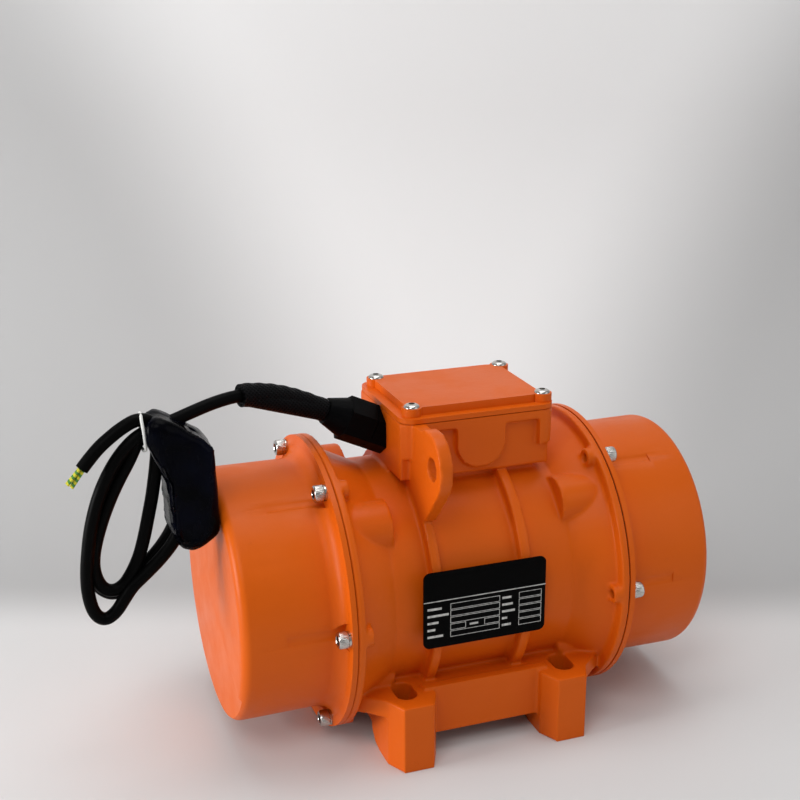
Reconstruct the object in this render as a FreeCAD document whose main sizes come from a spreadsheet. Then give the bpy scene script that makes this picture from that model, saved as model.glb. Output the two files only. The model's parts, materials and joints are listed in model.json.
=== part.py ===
"""Rotary electric vibration motor with eccentric weights on both shaft ends.

X runs along the shaft, Z is up and the feet stand on Z = 0. Every size is a cell
of the Sizes sheet; heights with the word axis in their comment count from the shaft.
"""
import FreeCAD, Part
import Sketcher
import math
import os
import re
from FreeCAD import Placement, Rotation, Vector

SIZES = {
    # housing
    "axis_height": 93,          # shaft axis above the foot soles
    "barrel_radius": 73,
    "stator_bore": 62,
    "bell_start": 58,
    "bell_radius": 85,
    "bell_bore": 77.5,
    "flange_radius": 92,
    "flange_inner": 82.5,
    "flange_outer": 87.5,
    "rib_radius": 80,
    "left_rib_start": -36,
    "left_rib_end": -30,
    "right_rib_start": 21.5,
    "right_rib_end": 28,
    "front_boss_radius": 16,
    "rear_boss_radius": 21,
    "boss_circle": 67.5,
    "boss_start": 55,
    # feet
    "foot_top": 43.3,
    "foot_front": 92,
    "foot_back": 47,
    "foot_shoulder": 79,
    "foot_face_near": 41,
    "foot_face_far": 60,
    "foot_near": 35,
    "foot_far": 66,
    "foot_round": 14,
    "slot_x": 52.5,
    "slot_y": 70,
    "slot_radius": 6.5,
    "slot_length": 21,
    "web_front": 75,
    "web_thickness": 6,
    "web_bottom": 13,
    "web_top": 45,
    "gusset_bottom": 32,
    "gusset_edge": 63,
    "shelf_thickness": 5,
    "outer_web": 9,
    "inner_web": 6,
    # cover bolts
    "bolt_inset": 6,            # bolt circle inside the flange edge
    "bolt_radius": 3,
    "bolt_head_radius": 5,
    "bolt_head_height": 6,
    "bolt_tip": 78.5,
    "washer_thickness": 1.5,
    "washer_radius": 5.4,
    "nub_radius": 6,
    "nub_start": 77.5,
    "thread_clearance": 0.05,
    "hole_clearance": 0.3,
    "nut_clearance": 0.03,
    # covers
    "seal_thickness": 0.4,
    "seal_inset": 1.2,
    "cover_flange": 3.2,
    "cover_mouth": 75,
    "cover_root_radius": 77.8,
    "cover_end_radius": 78.2,
    "cover_end": 152.5,
    "cover_wall": 3,
    "cover_end_wall": 4.5,
    "cover_fillet": 9,
    "cover_round": 6,
    "scallop_radius": 8.9,
    "scallop_length": 38,
    "panel_depth": 1.4,
    # terminal box
    "box_left": -42.5,
    "box_right": 58,
    "box_right_inset": 3,       # the lip stands out this far from the right wall
    "box_half": 37.5,
    "box_lip_half": 42,
    "box_bottom": 73,           # above the axis
    "box_floor": 78,            # above the axis
    "box_top": 109,             # above the axis
    "box_wall": 6.5,
    "neck_inset": 9,
    "neck_base": 55,            # above the axis
    "lip_height": 5.5,
    "post_width": 11,
    "post_bottom": 87,          # above the axis
    "pad_radius": 16,
    "pad_x": 8.5,
    "pad_height": 93,           # above the axis
    "corner_radius": 9,
    "lid_screw_left": -33.5,
    "lid_screw_right": 52,
    "lid_screw_y": 33,
    "lid_screw_radius": 2.5,
    "lid_screw_head": 4.9,
    "lid_screw_head_height": 2.2,
    "lid_pad_radius": 6,
    "gasket_thickness": 0.5,
    "gasket_inset": 1.5,
    "lid_plate": 3,
    "lid_panel_inset": 6.5,
    "lid_top": 117.5,           # above the axis
    "duct_radius": 9,
    "duct_x": 5,
    # lifting lugs
    "lug_start": -36,
    "lug_end": -28,
    "lug_radius": 21,
    "lug_y": 66,
    "lug_height": 92,           # above the axis
    "lug_web_bottom": 70,       # above the axis
    "lug_foot": 61,
    "eye_y": 73,
    "eye_radius": 7,
    # nameplate
    "plate_left": -43.5,
    "plate_right": 35.5,
    "plate_bottom": -19,        # above the axis
    "plate_top": 30,            # above the axis
    "plate_face": 79,
    "plate_thickness": 1,
    "plate_corner": 4,
    # stator and rotor
    "core_half": 38,
    "core_outer": 61.9,
    "core_inner": 36,
    "slot_count": 24,
    "stator_slot_width": 5,
    "stator_slot_inner": 38.5,
    "stator_slot_outer": 54,
    "coil_gap": 0.3,
    "winding_end": 56,
    "winding_inner": 40,
    "winding_outer": 58,
    "rotor_radius": 35.4,
    "rotor_bore": 16,
    "bar_count": 20,
    "bar_radius": 2.4,
    "bar_circle": 31,
    "ring_end": 44,
    "ring_inner": 24,
    # shaft and bearings
    "shoulder_radius": 15,
    "shaft_core_end": 50,
    "bearing_bore": 12.5,
    "bearing_start": 60,
    "bearing_end": 77,
    "race_inner_radius": 17,
    "race_outer_radius": 26.5,
    "bearing_outer": 31,
    "roller_radius": 4.7,
    "roller_count": 12,
    "roller_length": 12,
    "cage_thickness": 2.4,
    "pocket_radius": 4.85,
    "weight_seat": 94,
    "weight_bore": 11,
    "shaft_end": 140,
    # bearing flanges
    "hub_start": 59,
    "hub_radius": 38,
    "spigot_start": 66,
    "spigot_radius": 61.9,
    "seat": 74,
    "disc_radius": 77.2,
    "disc_end": 83,
    "shaft_hole": 20,
    "flange_bolt_radius": 4,
    "flange_bolt_head": 6.5,
    "flange_bolt_head_height": 8,
    "flange_bolt_tip": 62,
    "tapped_depth": 60,
    "cap_start": 56,
    "cap_inner": 15.6,
    # eccentric weights
    "weight_radius": 68,
    "weight_angle": 170,
    "weight_thickness": 20,
    "weight_gap": 1.5,
    "weight_hub": 24,
    "clamp_top": 30,
    "clamp_half": 15,
    "clamp_slit": 2,
    "clamp_bolt_height": 22,
    "clamp_bolt_radius": 3,
    "clamp_head_radius": 5,
    "clamp_head_height": 6,
    "clamp_seat_clearance": 0.4,
    "key_width": 6,
    "key_low": 8,
    "key_high": 13,
    "key_length": 16,
    "circlip_start": 136.6,
    "circlip_thickness": 1.2,
    "circlip_radius": 14,
    "groove_radius": 10.4,
    # terminal block
    "block_half_x": 26,
    "block_half_y": 15,
    "block_height": 9,
    "stud_radius": 2,
    "stud_pitch": 16,
    "stud_row": 7,
    "stud_length": 13,
    "nut_radius": 3.9,
    "nut_height": 3.2,
    "link_thickness": 1,
    "link_half": 3.5,
    "earth_x": 42,
    "earth_y": 18,
    "earth_radius": 2.5,
    # cable entry
    "gland_height": 94,         # above the axis, where the gland leaves the wall
    "gland_tilt": 25,           # degrees that the outside of the gland points upwards
    "gland_thread": 10,
    "gland_bore": 6.5,
    "gland_hex": 14.4,
    "gland_collar": 8,          # lengths along the gland from the wall of the box
    "gland_nut_start": 8.5,
    "gland_body_end": 24,
    "gland_nut_hex_end": 26,
    "gland_nut_end": 38.5,
    "gland_seal_start": 14,
    "gland_inside": 7,
    "gland_nut_nose": 8.2,
    "gland_nut_taper": 12.4,
    "gland_thread_outer": 10.5,
    "locknut_height": 4,
    "locknut_flat": 12.1,
    # cable
    "cable_radius": 3.8,
    "sleeve_radius": 7,
    "sleeve_gap": 0.2,
    "hank_y": -28,
    "hank_thickness": 16,
    "wrap_thickness": 30,
    "wrap_upright_round": 8,
    "wrap_rim_round": 6,
    "wrap_gap": 0.3,
    "tie_end": -196,
    "tie_width": 3,
    "tie_thickness": 1.2,
    "tie_low": 108,             # above the axis
    "tie_high": 133,            # above the axis
    "core_radius": 0.9,
    "core_length": 13,
    "core_spread": 1.5,
}

BOLT_ANGLES = (30, 90, 150, 210, 270, 330)
BEARING_BOLT_ANGLES = (43, 137, 223, 317)
BOLT_CIRCLE = "(flange_radius - bolt_inset)"
LEFT, RIGHT = -1, 1
SIDES = (("left", LEFT), ("right", RIGHT))

# Route of the cable from the gland seal to the hank, and of its free tail: x, y, height above the axis.
CABLE_ROUTE = (
    (-57, 0, 100.8), (-78, 0, 110.6), (-90.5, -0.5, 116.8), (-101, -2, 121.5), (-112, -4.5, 125.3),
    (-123, -7.5, 127.8), (-133, -10.2, 128.9), (-148, -14.5, 129), (-163, -19.5, 127), (-176, -24, 123.8),
    (-188, -27, 121),
)
TAIL_ROUTE = ((-196, -29, 128.5), (-206, -30.5, 126.5), (-216, -32, 121.5), (-226, -33, 113.5), (-235, -34, 103.5))
SLEEVE_START, SLEEVE_END = 1, 6

# Outlines of the hank in its own upright plane: x and height above the axis.
HANK_OUTSIDE = (
    (-192, 131), (-205, 121.5), (-216, 107), (-228, 84), (-236, 53), (-238, 28), (-231, 3), (-220, 6),
    (-204, 25), (-187, 40), (-181, 52), (-186, 90),
)
HANK_OPENING = (
    (-197, 107), (-207, 96), (-220, 76), (-229, 54), (-230, 34), (-219, 27), (-208.5, 33), (-202, 56), (-198.5, 84),
)
WRAP_OUTLINE = (
    (-193, 131), (-181.8, 129.5), (-171.6, 123.8), (-158.9, 115.4), (0, 108.5), (0, 54), (-162.4, 46.5),
    (-169.4, 43), (-180.6, 48.7), (-188.5, 58.3),
)

document = FreeCAD.newDocument("VibrationMotor")
sheet = document.addObject("Spreadsheet::Sheet", "Sizes")
nodes = []


def fill_sheet():
    """Write each size and its name into the sheet."""
    for row, (alias, value) in enumerate(SIZES.items(), start=1):
        sheet.set(f"A{row}", alias)
        sheet.set(f"B{row}", str(value))
        sheet.setAlias(f"B{row}", alias)
    document.recompute()


def size(alias):
    """Current value of a sheet cell."""
    return float(sheet.get(alias))


def bind(item, prop, text):
    """Bind a property to an expression in which sheet aliases stand alone."""
    names = re.sub(r"[a-z]\w+_\w+|seat\b", lambda found: "Sizes." + found.group(0), str(text))
    item.setExpression(prop, names)


def place(item, x, y, z):
    """Bind the position of an item."""
    for axis, value in zip("xyz", (x, y, z)):
        bind(item, "Placement.Base." + axis, value)


def above(height):
    """Expression for a height above the shaft axis."""
    return f"axis_height + {height}"


def node(item, label):
    """Mark an item as a finished sub-part under its own name."""
    item.Label = label
    nodes.append(item)
    return item


# ---------------------------------------------------------------- primitives


def block(name, x_span, y_span, z_span):
    """Box between two values on each axis."""
    item = document.addObject("Part::Box", name)
    for prop, (low, high) in zip(("Length", "Width", "Height"), (x_span, y_span, z_span)):
        bind(item, prop, f"({high}) - ({low})")
    place(item, x_span[0], y_span[0], z_span[0])
    return item


def rod(name, radius, span, centre, axis="x"):
    """Cylinder along an axis; centre holds the two other coordinates in order."""
    low, high = span
    item = document.addObject("Part::Cylinder", name)
    bind(item, "Radius", radius)
    bind(item, "Height", f"({high}) - ({low})")
    first, second = centre
    if axis == "x":
        item.Placement.Rotation = Rotation(Vector(0, 1, 0), 90)
        place(item, low, first, second)
    elif axis == "y":
        item.Placement.Rotation = Rotation(Vector(1, 0, 0), -90)
        place(item, first, low, second)
    else:
        place(item, first, second, low)
    return item


def prism(name, circumradius, span, centre, axis="x", turn=0):
    """Hexagonal prism, such as a nut, along X or Z; turn is in degrees."""
    low, high = span
    item = document.addObject("Part::Prism", name)
    item.Polygon = 6
    bind(item, "Circumradius", circumradius)
    bind(item, "Height", f"({high}) - ({low})")
    if axis == "x":
        item.Placement.Rotation = Rotation(Vector(0, 1, 0), 90).multiply(Rotation(Vector(0, 0, 1), turn))
        place(item, low, centre[0], centre[1])
    else:
        place(item, centre[0], centre[1], low)
    return item


def fuse(name, items):
    """Union of several items."""
    item = document.addObject("Part::MultiFuse", name)
    item.Shapes = list(items)
    item.Refine = True
    return item


def cut(name, base, tools):
    """Base without the tools."""
    tools = list(tools)
    item = document.addObject("Part::Cut", name)
    item.Base = base
    item.Tool = tools[0] if len(tools) == 1 else group(name + "_tools", tools)
    item.Refine = True
    return item


def group(name, items):
    """Several separate solids kept together."""
    item = document.addObject("Part::Compound", name)
    item.Links = list(items)
    return item


def along(side, low, high):
    """Span on X of a stretch given by its distances from the middle of the motor."""
    if side == RIGHT:
        return low, high
    return f"-({high})", f"-({low})"


def polar(circle, angle):
    """Y and Z of a point on a circle round the shaft; the angle turns from +Z towards -Y."""
    return f"-{circle} * sin({angle}deg)", f"axis_height + {circle} * cos({angle}deg)"


# ---------------------------------------------------------------- sketches


def origin_plane(body, role):
    """Origin plane of a body, found by its role."""
    return next(item for item in body.Origin.OriginFeatures if item.Role == role)


def outline_sketch(body, name, plane, points):
    """Closed outline whose corners are bound to expressions, one pair for each corner."""
    sketch = body.newObject("Sketcher::SketchObject", name)
    sketch.AttachmentSupport = [(origin_plane(body, plane), "")]
    sketch.MapMode = "FlatFace"
    values = [Vector(evaluate(u), evaluate(v), 0) for u, v in points]
    count = len(points)
    for index in range(count):
        sketch.addGeometry(Part.LineSegment(values[index], values[(index + 1) % count]), False)
    for index in range(count):
        following = (index + 1) % count
        sketch.addConstraint(Sketcher.Constraint("Coincident", index, 2, following, 1))
    for index, corner in enumerate(points):
        for kind, text, value in zip(("DistanceX", "DistanceY"), corner, values[index]):
            number = sketch.addConstraint(Sketcher.Constraint(kind, index, 1, value))
            bind(sketch, f"Constraints[{number}]", text)
    return sketch


def evaluate(text):
    """Number that an expression of sheet aliases gives."""
    numbers = re.sub(r"[a-z]\w+_\w+|seat\b", lambda found: repr(size(found.group(0))), str(text))
    return float(FreeCAD.Units.Quantity(numbers.replace("--", "+")).Value)


def turned(name, points, side=RIGHT):
    """Body turned round the shaft from its (distance from the middle, radius) outline."""
    body = document.addObject("PartDesign::Body", name)
    mirrored = [(x if side == RIGHT else f"-({x})", radius) for x, radius in points]
    sketch = outline_sketch(body, name + "_outline", "XZ_Plane", mirrored)
    turn = body.newObject("PartDesign::Revolution", name + "_turn")
    turn.Profile = sketch
    turn.ReferenceAxis = (sketch, ["H_Axis"])
    turn.Angle = 360
    sketch.Visibility = False
    bind(body, "Placement.Base.z", "axis_height")
    document.recompute()
    return body


def padded(name, plane, points, length, placement):
    """Body padded from an outline on an origin plane."""
    body = document.addObject("PartDesign::Body", name)
    sketch = outline_sketch(body, name + "_outline", plane, points)
    pad = body.newObject("PartDesign::Pad", name + "_pad")
    pad.Profile = sketch
    bind(pad, "Length", length)
    sketch.Visibility = False
    place(body, *placement)
    document.recompute()
    return body


def round_edges(body, name, radius, wanted):
    """Fillet the edges of a body that the test picks."""
    base = body.Tip
    names = [f"Edge{number}" for number, edge in enumerate(base.Shape.Edges, start=1) if wanted(edge)]
    if not names:
        raise ValueError("no edges to round on " + body.Name)
    fillet = body.newObject("PartDesign::Fillet", name)
    fillet.Base = (base, names)
    bind(fillet, "Radius", radius)
    body.Tip = fillet
    document.recompute()
    return fillet


def is_circle(x, radius):
    """Test for a full circle round the shaft at a place along it."""
    def test(edge):
        if not isinstance(edge.Curve, Part.Circle):
            return False
        same_place = abs(edge.Curve.Center.x - x) < 0.01
        return same_place and abs(edge.Curve.Radius - radius) < 0.01
    return test


def is_vertical(edge):
    """Test for a straight edge along Z."""
    ends = [vertex.Point for vertex in edge.Vertexes]
    if len(ends) < 2:
        return False
    run = ends[1] - ends[0]
    return abs(run.x) < 0.01 and abs(run.y) < 0.01


# ---------------------------------------------------------------- housing


def barrel():
    """Turned outside of the housing: barrel, bells and flanges."""
    return turned("housing_barrel", [
        ("-flange_outer", 0), ("-flange_outer", "flange_radius"), ("-flange_inner", "flange_radius"),
        ("-flange_inner", "bell_radius"), ("-bell_start", "barrel_radius"),
        ("bell_start", "barrel_radius"), ("flange_inner", "bell_radius"),
        ("flange_inner", "flange_radius"), ("flange_outer", "flange_radius"), ("flange_outer", 0),
    ])


def foot(name, x_side, y_side):
    """One leg with its chamfered front, rounded inner corner and gusset to the flange."""
    outline = [
        ("foot_near", "foot_back"), ("foot_far", "foot_back"), ("foot_far", "foot_shoulder"),
        ("foot_face_far", "foot_front"), ("foot_face_near", "foot_front"), ("foot_near", "foot_shoulder"),
    ]
    points = [(f"{x_side} * {x}", f"{y_side} * {y}") for x, y in outline]
    leg = padded(name, "XY_Plane", points, "foot_top", (0, 0, 0))
    inner_edge = y_side * size("foot_back")

    def is_inner_sole(edge):
        ends = [vertex.Point for vertex in edge.Vertexes]
        return all(abs(end.y - inner_edge) < 0.01 and abs(end.z) < 0.01 for end in ends)

    round_edges(leg, name + "_round", "foot_round", is_inner_sole)
    return leg


def gusset(name, x_side, y_side):
    """Shelf between a leg and the flange."""
    outline = [
        ("foot_near", "foot_back"), ("foot_near", "foot_shoulder"), ("foot_far", "foot_shoulder"),
        ("flange_inner + 1", "gusset_edge"), ("flange_inner + 1", "foot_back"),
    ]
    points = [(f"{x_side} * ({x})", f"{y_side} * {y}") for x, y in outline]
    return padded(name, "XY_Plane", points, "foot_top - gusset_bottom", (0, 0, "gusset_bottom"))


def slot(name, x_side, y_side):
    """Obround hole through a foot, long across the motor."""
    x = f"{x_side} * slot_x"
    offset = "(slot_length / 2 - slot_radius)"
    depth = ("-1", "web_top + 1")
    ends = [
        rod(f"{name}_{word}", "slot_radius", depth, (x, f"{y_side} * slot_y {sign} {offset}"), "z")
        for word, sign in (("rear", "+"), ("front", "-"))
    ]
    middle = block(
        name + "_middle", (f"{x} - slot_radius", f"{x} + slot_radius"),
        (f"{y_side} * slot_y - {offset}", f"{y_side} * slot_y + {offset}"), depth)
    return fuse(name, ends + [middle])


def base_webs():
    """Webs and shelf that join the legs below the barrel."""
    depths = (("front", "-web_front", "-web_front + web_thickness"), ("rear", "web_front - web_thickness", "web_front"))
    parts = [
        block("web_" + word, ("-foot_near - inner_web", "foot_near + inner_web"), depth, ("web_bottom", "web_top"))
        for word, *depth in depths
    ]
    parts.append(block("web_shelf", ("-foot_far", "foot_far"), ("-web_front", "web_front"),
                       ("foot_top - shelf_thickness", "foot_top")))
    middle = ("-foot_back - foot_round", "foot_back + foot_round")
    for word, side in SIDES:
        for name, near, far in (("outer", "foot_far - outer_web", "foot_far"),
                                ("inner", "foot_near", "foot_near + inner_web")):
            parts.append(block(f"web_{name}_{word}", along(side, near, far), middle, ("web_bottom", "foot_top")))
    return parts


def terminal_box():
    """Outside of the cast terminal box with its neck, corner posts, lip and round pads."""
    top = above("box_top")
    body = block("box_body", ("box_left", "box_right - box_right_inset"), ("-box_half", "box_half"),
                 (above("box_bottom"), top))
    neck = block("box_neck", ("box_left + neck_inset", "box_right - neck_inset"),
                 ("-box_half + neck_inset", "box_half - neck_inset"),
                 (above("neck_base"), above("box_bottom")))
    posts = rounded_plate("box_posts", "0", above("post_bottom"), top)
    low = above("post_bottom - post_width")
    under_lip = above("box_top - lip_height")
    recesses = []
    for word, near, far in (("front", "-box_lip_half - post_width", "-box_half"),
                            ("rear", "box_half", "box_lip_half + post_width")):
        recesses.append(block("box_recess_" + word, ("box_left + post_width", "box_right - post_width"),
                              (near, far), (low, under_lip)))
    recesses.append(block("box_recess_right", ("box_right - box_right_inset", "box_right + 1"),
                          ("-box_half", "box_half"), (low, under_lip)))
    columns = cut("box_columns", posts, recesses)
    pads = [
        rod("box_pad_round", "pad_radius", ("-box_lip_half", "box_lip_half"), ("pad_x", above("pad_height")), "y"),
        block("box_pad", ("pad_x - pad_radius", "pad_x + pad_radius"), ("-box_lip_half", "box_lip_half"),
              (above("pad_height"), top)),
    ]
    return [body, neck, columns] + pads


def lid_screw_places():
    """Centres of the four lid screws."""
    return [(x, y) for x in ("lid_screw_left", "lid_screw_right") for y in ("-lid_screw_y", "lid_screw_y")]


def box_inside():
    """Space inside the terminal box, with the duct down to the windings."""
    room = block("box_room", ("box_left + box_wall", "box_right - box_wall"),
                 ("-box_half + box_wall", "box_half - box_wall"),
                 (above("box_floor"), above("box_top + 1")))
    bosses = [
        rod(f"box_boss_{number}", "lid_pad_radius", (above("box_floor - 1"), above("box_top + 2")), centre, "z")
        for number, centre in enumerate(lid_screw_places())
    ]
    duct = rod("box_duct", "duct_radius", ("axis_height + 20", above("box_floor + 1")), ("duct_x", "0"), "z")
    return [cut("box_space", room, bosses), duct]


def lug():
    """Lifting lug: a round plate that stands off the box and a rib."""
    span = ("lug_start", "lug_end")
    disc = rod("lug_disc", "lug_radius", span, ("-lug_y", above("lug_height")))
    web = block("lug_web", span, ("-lug_y", "-box_half + 1"), (above("lug_web_bottom"), above("box_top")))
    points = [
        ("-lug_y - lug_radius * 0.78", above("lug_height - lug_radius * 0.63")),
        ("-lug_foot", above("neck_base")), ("-box_half - 1", above("neck_base")), ("-box_half - 1", above("lug_height")),
    ]
    skirt = padded("lug_skirt", "YZ_Plane", points, "lug_end - lug_start", ("lug_start", 0, 0))
    return fuse("lug", [disc, web, skirt])


def motor_housing():
    """Cast housing: barrel, bells, flanges, feet, ribs, terminal box and lugs in one piece."""
    solids = [barrel()]
    for word in ("left", "right"):
        solids.append(rod(f"rib_{word}", "rib_radius", (f"{word}_rib_start", f"{word}_rib_end"),
                          ("0", "axis_height")))
    for word, side in SIDES:
        for angle in BEARING_BOLT_ANGLES:
            radius = "front_boss_radius" if angle < 180 else "rear_boss_radius"
            solids.append(rod(f"boss_{word}_{angle}", radius, along(side, "boss_start", "flange_inner"),
                              polar("boss_circle", angle)))
        for angle in BOLT_ANGLES:
            solids.append(rod(f"nub_{word}_{angle}", "nub_radius", along(side, "nub_start", "flange_inner + 1"),
                              polar(BOLT_CIRCLE, angle)))
    for x_word, x_side in SIDES:
        for y_word, y_side in (("front", -1), ("rear", 1)):
            solids.append(foot(f"foot_{x_word}_{y_word}", x_side, y_side))
            solids.append(gusset(f"gusset_{x_word}_{y_word}", x_side, y_side))
    solids += base_webs() + terminal_box()
    solids.append(lug())
    outside = fuse("housing_outside", solids)

    tools = [rod("stator_space", "stator_bore", ("-seat - 1", "seat + 1"), ("0", "axis_height"))]
    for word, side in SIDES:
        tools.append(rod("bell_space_" + word, "bell_bore", along(side, "seat", "flange_outer + 1"),
                         ("0", "axis_height")))
        for angle in BOLT_ANGLES:
            tools.append(rod(f"tapping_{word}_{angle}", "bolt_radius + thread_clearance",
                             along(side, "nub_start - 1", "flange_outer + 1"), polar(BOLT_CIRCLE, angle)))
        for angle in BEARING_BOLT_ANGLES:
            tools.append(rod(f"boss_tapping_{word}_{angle}", "flange_bolt_radius + thread_clearance",
                             along(side, "tapped_depth", "seat + 1"), polar("boss_circle", angle)))
        for y_word, y_side in (("front", -1), ("rear", 1)):
            tools.append(slot(f"slot_{word}_{y_word}", side, y_side))
    tools += box_inside()
    for number, centre in enumerate(lid_screw_places()):
        tools.append(rod(f"lid_tapping_{number}", "lid_screw_radius + thread_clearance",
                         (above("box_top - 13"), above("box_top + 1")), centre, "z"))
    tools.append(rod("earth_tapping", "earth_radius + thread_clearance",
                     (above("box_floor - 4"), above("box_floor + 1")), ("earth_x", "earth_y"), "z"))
    tools.append(rod("gland_hole", "gland_thread + thread_clearance",
                     ("box_left - 1", "box_left + box_wall + 1"), ("0", above("gland_height"))))
    tools.append(rod("lug_eye", "eye_radius", ("lug_start - 1", "lug_end + 1"), ("-eye_y", above("lug_height"))))
    tools.append(block("plate_flat", ("plate_left - 1", "plate_right + 1"), ("-plate_face - 9", "-plate_face"),
                       (above("plate_bottom - 9"), above("plate_top + 9"))))
    node(cut("housing", outside, tools), "motor_housing")


# ---------------------------------------------------------------- terminal box parts


def rounded_plate(name, inset, low, high):
    """Plate in plan of the box with rounded upright corners."""
    points = [
        (f"box_left + {inset}", f"-box_lip_half + {inset}"), (f"box_right - {inset}", f"-box_lip_half + {inset}"),
        (f"box_right - {inset}", f"box_lip_half - {inset}"), (f"box_left + {inset}", f"box_lip_half - {inset}"),
    ]
    plate = padded(name, "XY_Plane", points, f"({high}) - ({low})", (0, 0, low))
    round_edges(plate, name + "_corners", "corner_radius", is_vertical)
    return plate


def terminal_box_lid():
    """Lid with a raised panel and four screw pads."""
    bottom = above("box_top + gasket_thickness")
    middle = f"{bottom} + lid_plate"
    plate = rounded_plate("lid_base", "0", bottom, middle)
    panel = rounded_plate("lid_panel", "lid_panel_inset", middle, above("lid_top"))
    pads = [
        rod(f"lid_pad_{number}", "lid_pad_radius", (bottom, above("lid_top")), centre, "z")
        for number, centre in enumerate(lid_screw_places())
    ]
    holes = [
        rod(f"lid_hole_{number}", "lid_screw_radius + hole_clearance", (f"{bottom} - 1", above("lid_top + 1")), centre, "z")
        for number, centre in enumerate(lid_screw_places())
    ]
    node(cut("lid", fuse("lid_solid", [plate, panel] + pads), holes), "terminal_box_lid")


def terminal_box_gasket():
    """Flat rubber frame under the lid."""
    low, high = above("box_top"), above("box_top + gasket_thickness")
    frame = rounded_plate("gasket_plate", "gasket_inset", low, high)
    window = block("gasket_window", ("box_left + box_wall", "box_right - box_wall"),
                   ("-box_half + box_wall", "box_half - box_wall"), (f"{low} - 1", f"{high} + 1"))
    corners = [
        rod(f"gasket_corner_{number}", "lid_pad_radius", (f"{low} - 2", f"{high} + 2"), centre, "z")
        for number, centre in enumerate(lid_screw_places())
    ]
    holes = [
        rod(f"gasket_hole_{number}", "lid_screw_radius + hole_clearance", (f"{low} - 1", f"{high} + 1"), centre, "z")
        for number, centre in enumerate(lid_screw_places())
    ]
    opening = cut("gasket_opening", window, corners)
    node(cut("gasket", frame, [opening] + holes), "terminal_box_gasket")


def button_screw(name, centre, radius, head, seat_height, depth):
    """Button-head socket screw standing on a seat, pointing down."""
    shank = rod(name + "_shank", radius, (f"{seat_height} - {depth}", seat_height), centre, "z")
    top = document.addObject("Part::Cone", name + "_head")
    bind(top, "Radius1", head)
    bind(top, "Radius2", f"{head} * 0.62")
    bind(top, "Height", "lid_screw_head_height")
    place(top, centre[0], centre[1], seat_height)
    socket = prism(name + "_socket", f"{head} * 0.36",
                   (f"{seat_height} + lid_screw_head_height * 0.35", f"{seat_height} + lid_screw_head_height + 1"),
                   centre, "z")
    return cut(name, fuse(name + "_solid", [shank, top]), [socket])


def lid_screws():
    """Four lid screws."""
    screws = [
        button_screw(f"lid_screw_{number}", centre, "lid_screw_radius", "lid_screw_head", above("lid_top"), "19")
        for number, centre in enumerate(lid_screw_places())
    ]
    node(group("lid_screw_group", screws), "lid_screws")


def terminal_block_parts():
    """Terminal block with six studs, their nuts and the three links."""
    floor = above("box_floor")
    top = above("box_floor + block_height")
    centre_x = "duct_x"
    places = [(f"{centre_x} + {column} * stud_pitch", f"{row} * stud_row")
              for column in (-1, 0, 1) for row in (-1, 1)]
    slab = block("block_slab", (f"{centre_x} - block_half_x", f"{centre_x} + block_half_x"),
                 ("-block_half_y", "block_half_y"), (floor, top))
    holes = [rod(f"block_hole_{number}", "stud_radius", (f"{top} - 6", f"{top} + 1"), centre, "z")
             for number, centre in enumerate(places)]
    node(cut("block_body", slab, holes), "terminal_block")
    studs = [rod(f"stud_{number}", "stud_radius", (f"{top} - 6", f"{top} - 6 + stud_length"), centre, "z")
             for number, centre in enumerate(places)]
    node(group("stud_group", studs), "terminal_studs")
    links = []
    for column in (-1, 0, 1):
        x = f"{centre_x} + {column} * stud_pitch"
        bar = block(f"link_bar_{column + 1}", (f"{x} - link_half", f"{x} + link_half"),
                    ("-stud_row - link_half", "stud_row + link_half"), (top, f"{top} + link_thickness"))
        openings = [rod(f"link_hole_{column + 1}_{row + 1}", "stud_radius + 0.2",
                        (f"{top} - 1", f"{top} + 2"), (x, f"{row} * stud_row"), "z") for row in (-1, 1)]
        links.append(cut(f"link_{column + 1}", bar, openings))
    node(group("link_group", links), "terminal_links")
    nuts = []
    for number, centre in enumerate(places):
        low = f"{top} + link_thickness"
        hexagon = prism(f"nut_hex_{number}", "nut_radius", (low, f"{low} + nut_height"), centre, "z")
        thread = rod(f"nut_thread_{number}", "stud_radius + nut_clearance", (f"{low} - 1", f"{low} + nut_height + 1"),
                     centre, "z")
        nuts.append(cut(f"nut_{number}", hexagon, [thread]))
    node(group("nut_group", nuts), "terminal_nuts")
    node(button_screw("earth", ("earth_x", "earth_y"), "earth_radius", "lid_screw_head", floor, "3.5"),
         "earth_screw")


def lean(item):
    """Turn a finished part of the gland upwards about the point where its axis leaves the wall."""
    pivot = Vector(size("box_left"), 0, size("axis_height") + size("gland_height"))
    tilt = Rotation(Vector(0, 1, 0), size("gland_tilt"))
    item.Placement = Placement(pivot - tilt.multVec(pivot), tilt)
    return item


def outwards(near, far):
    """Span on X between two distances outside the wall with the gland."""
    return f"box_left - ({far})", f"box_left - ({near})"


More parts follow.
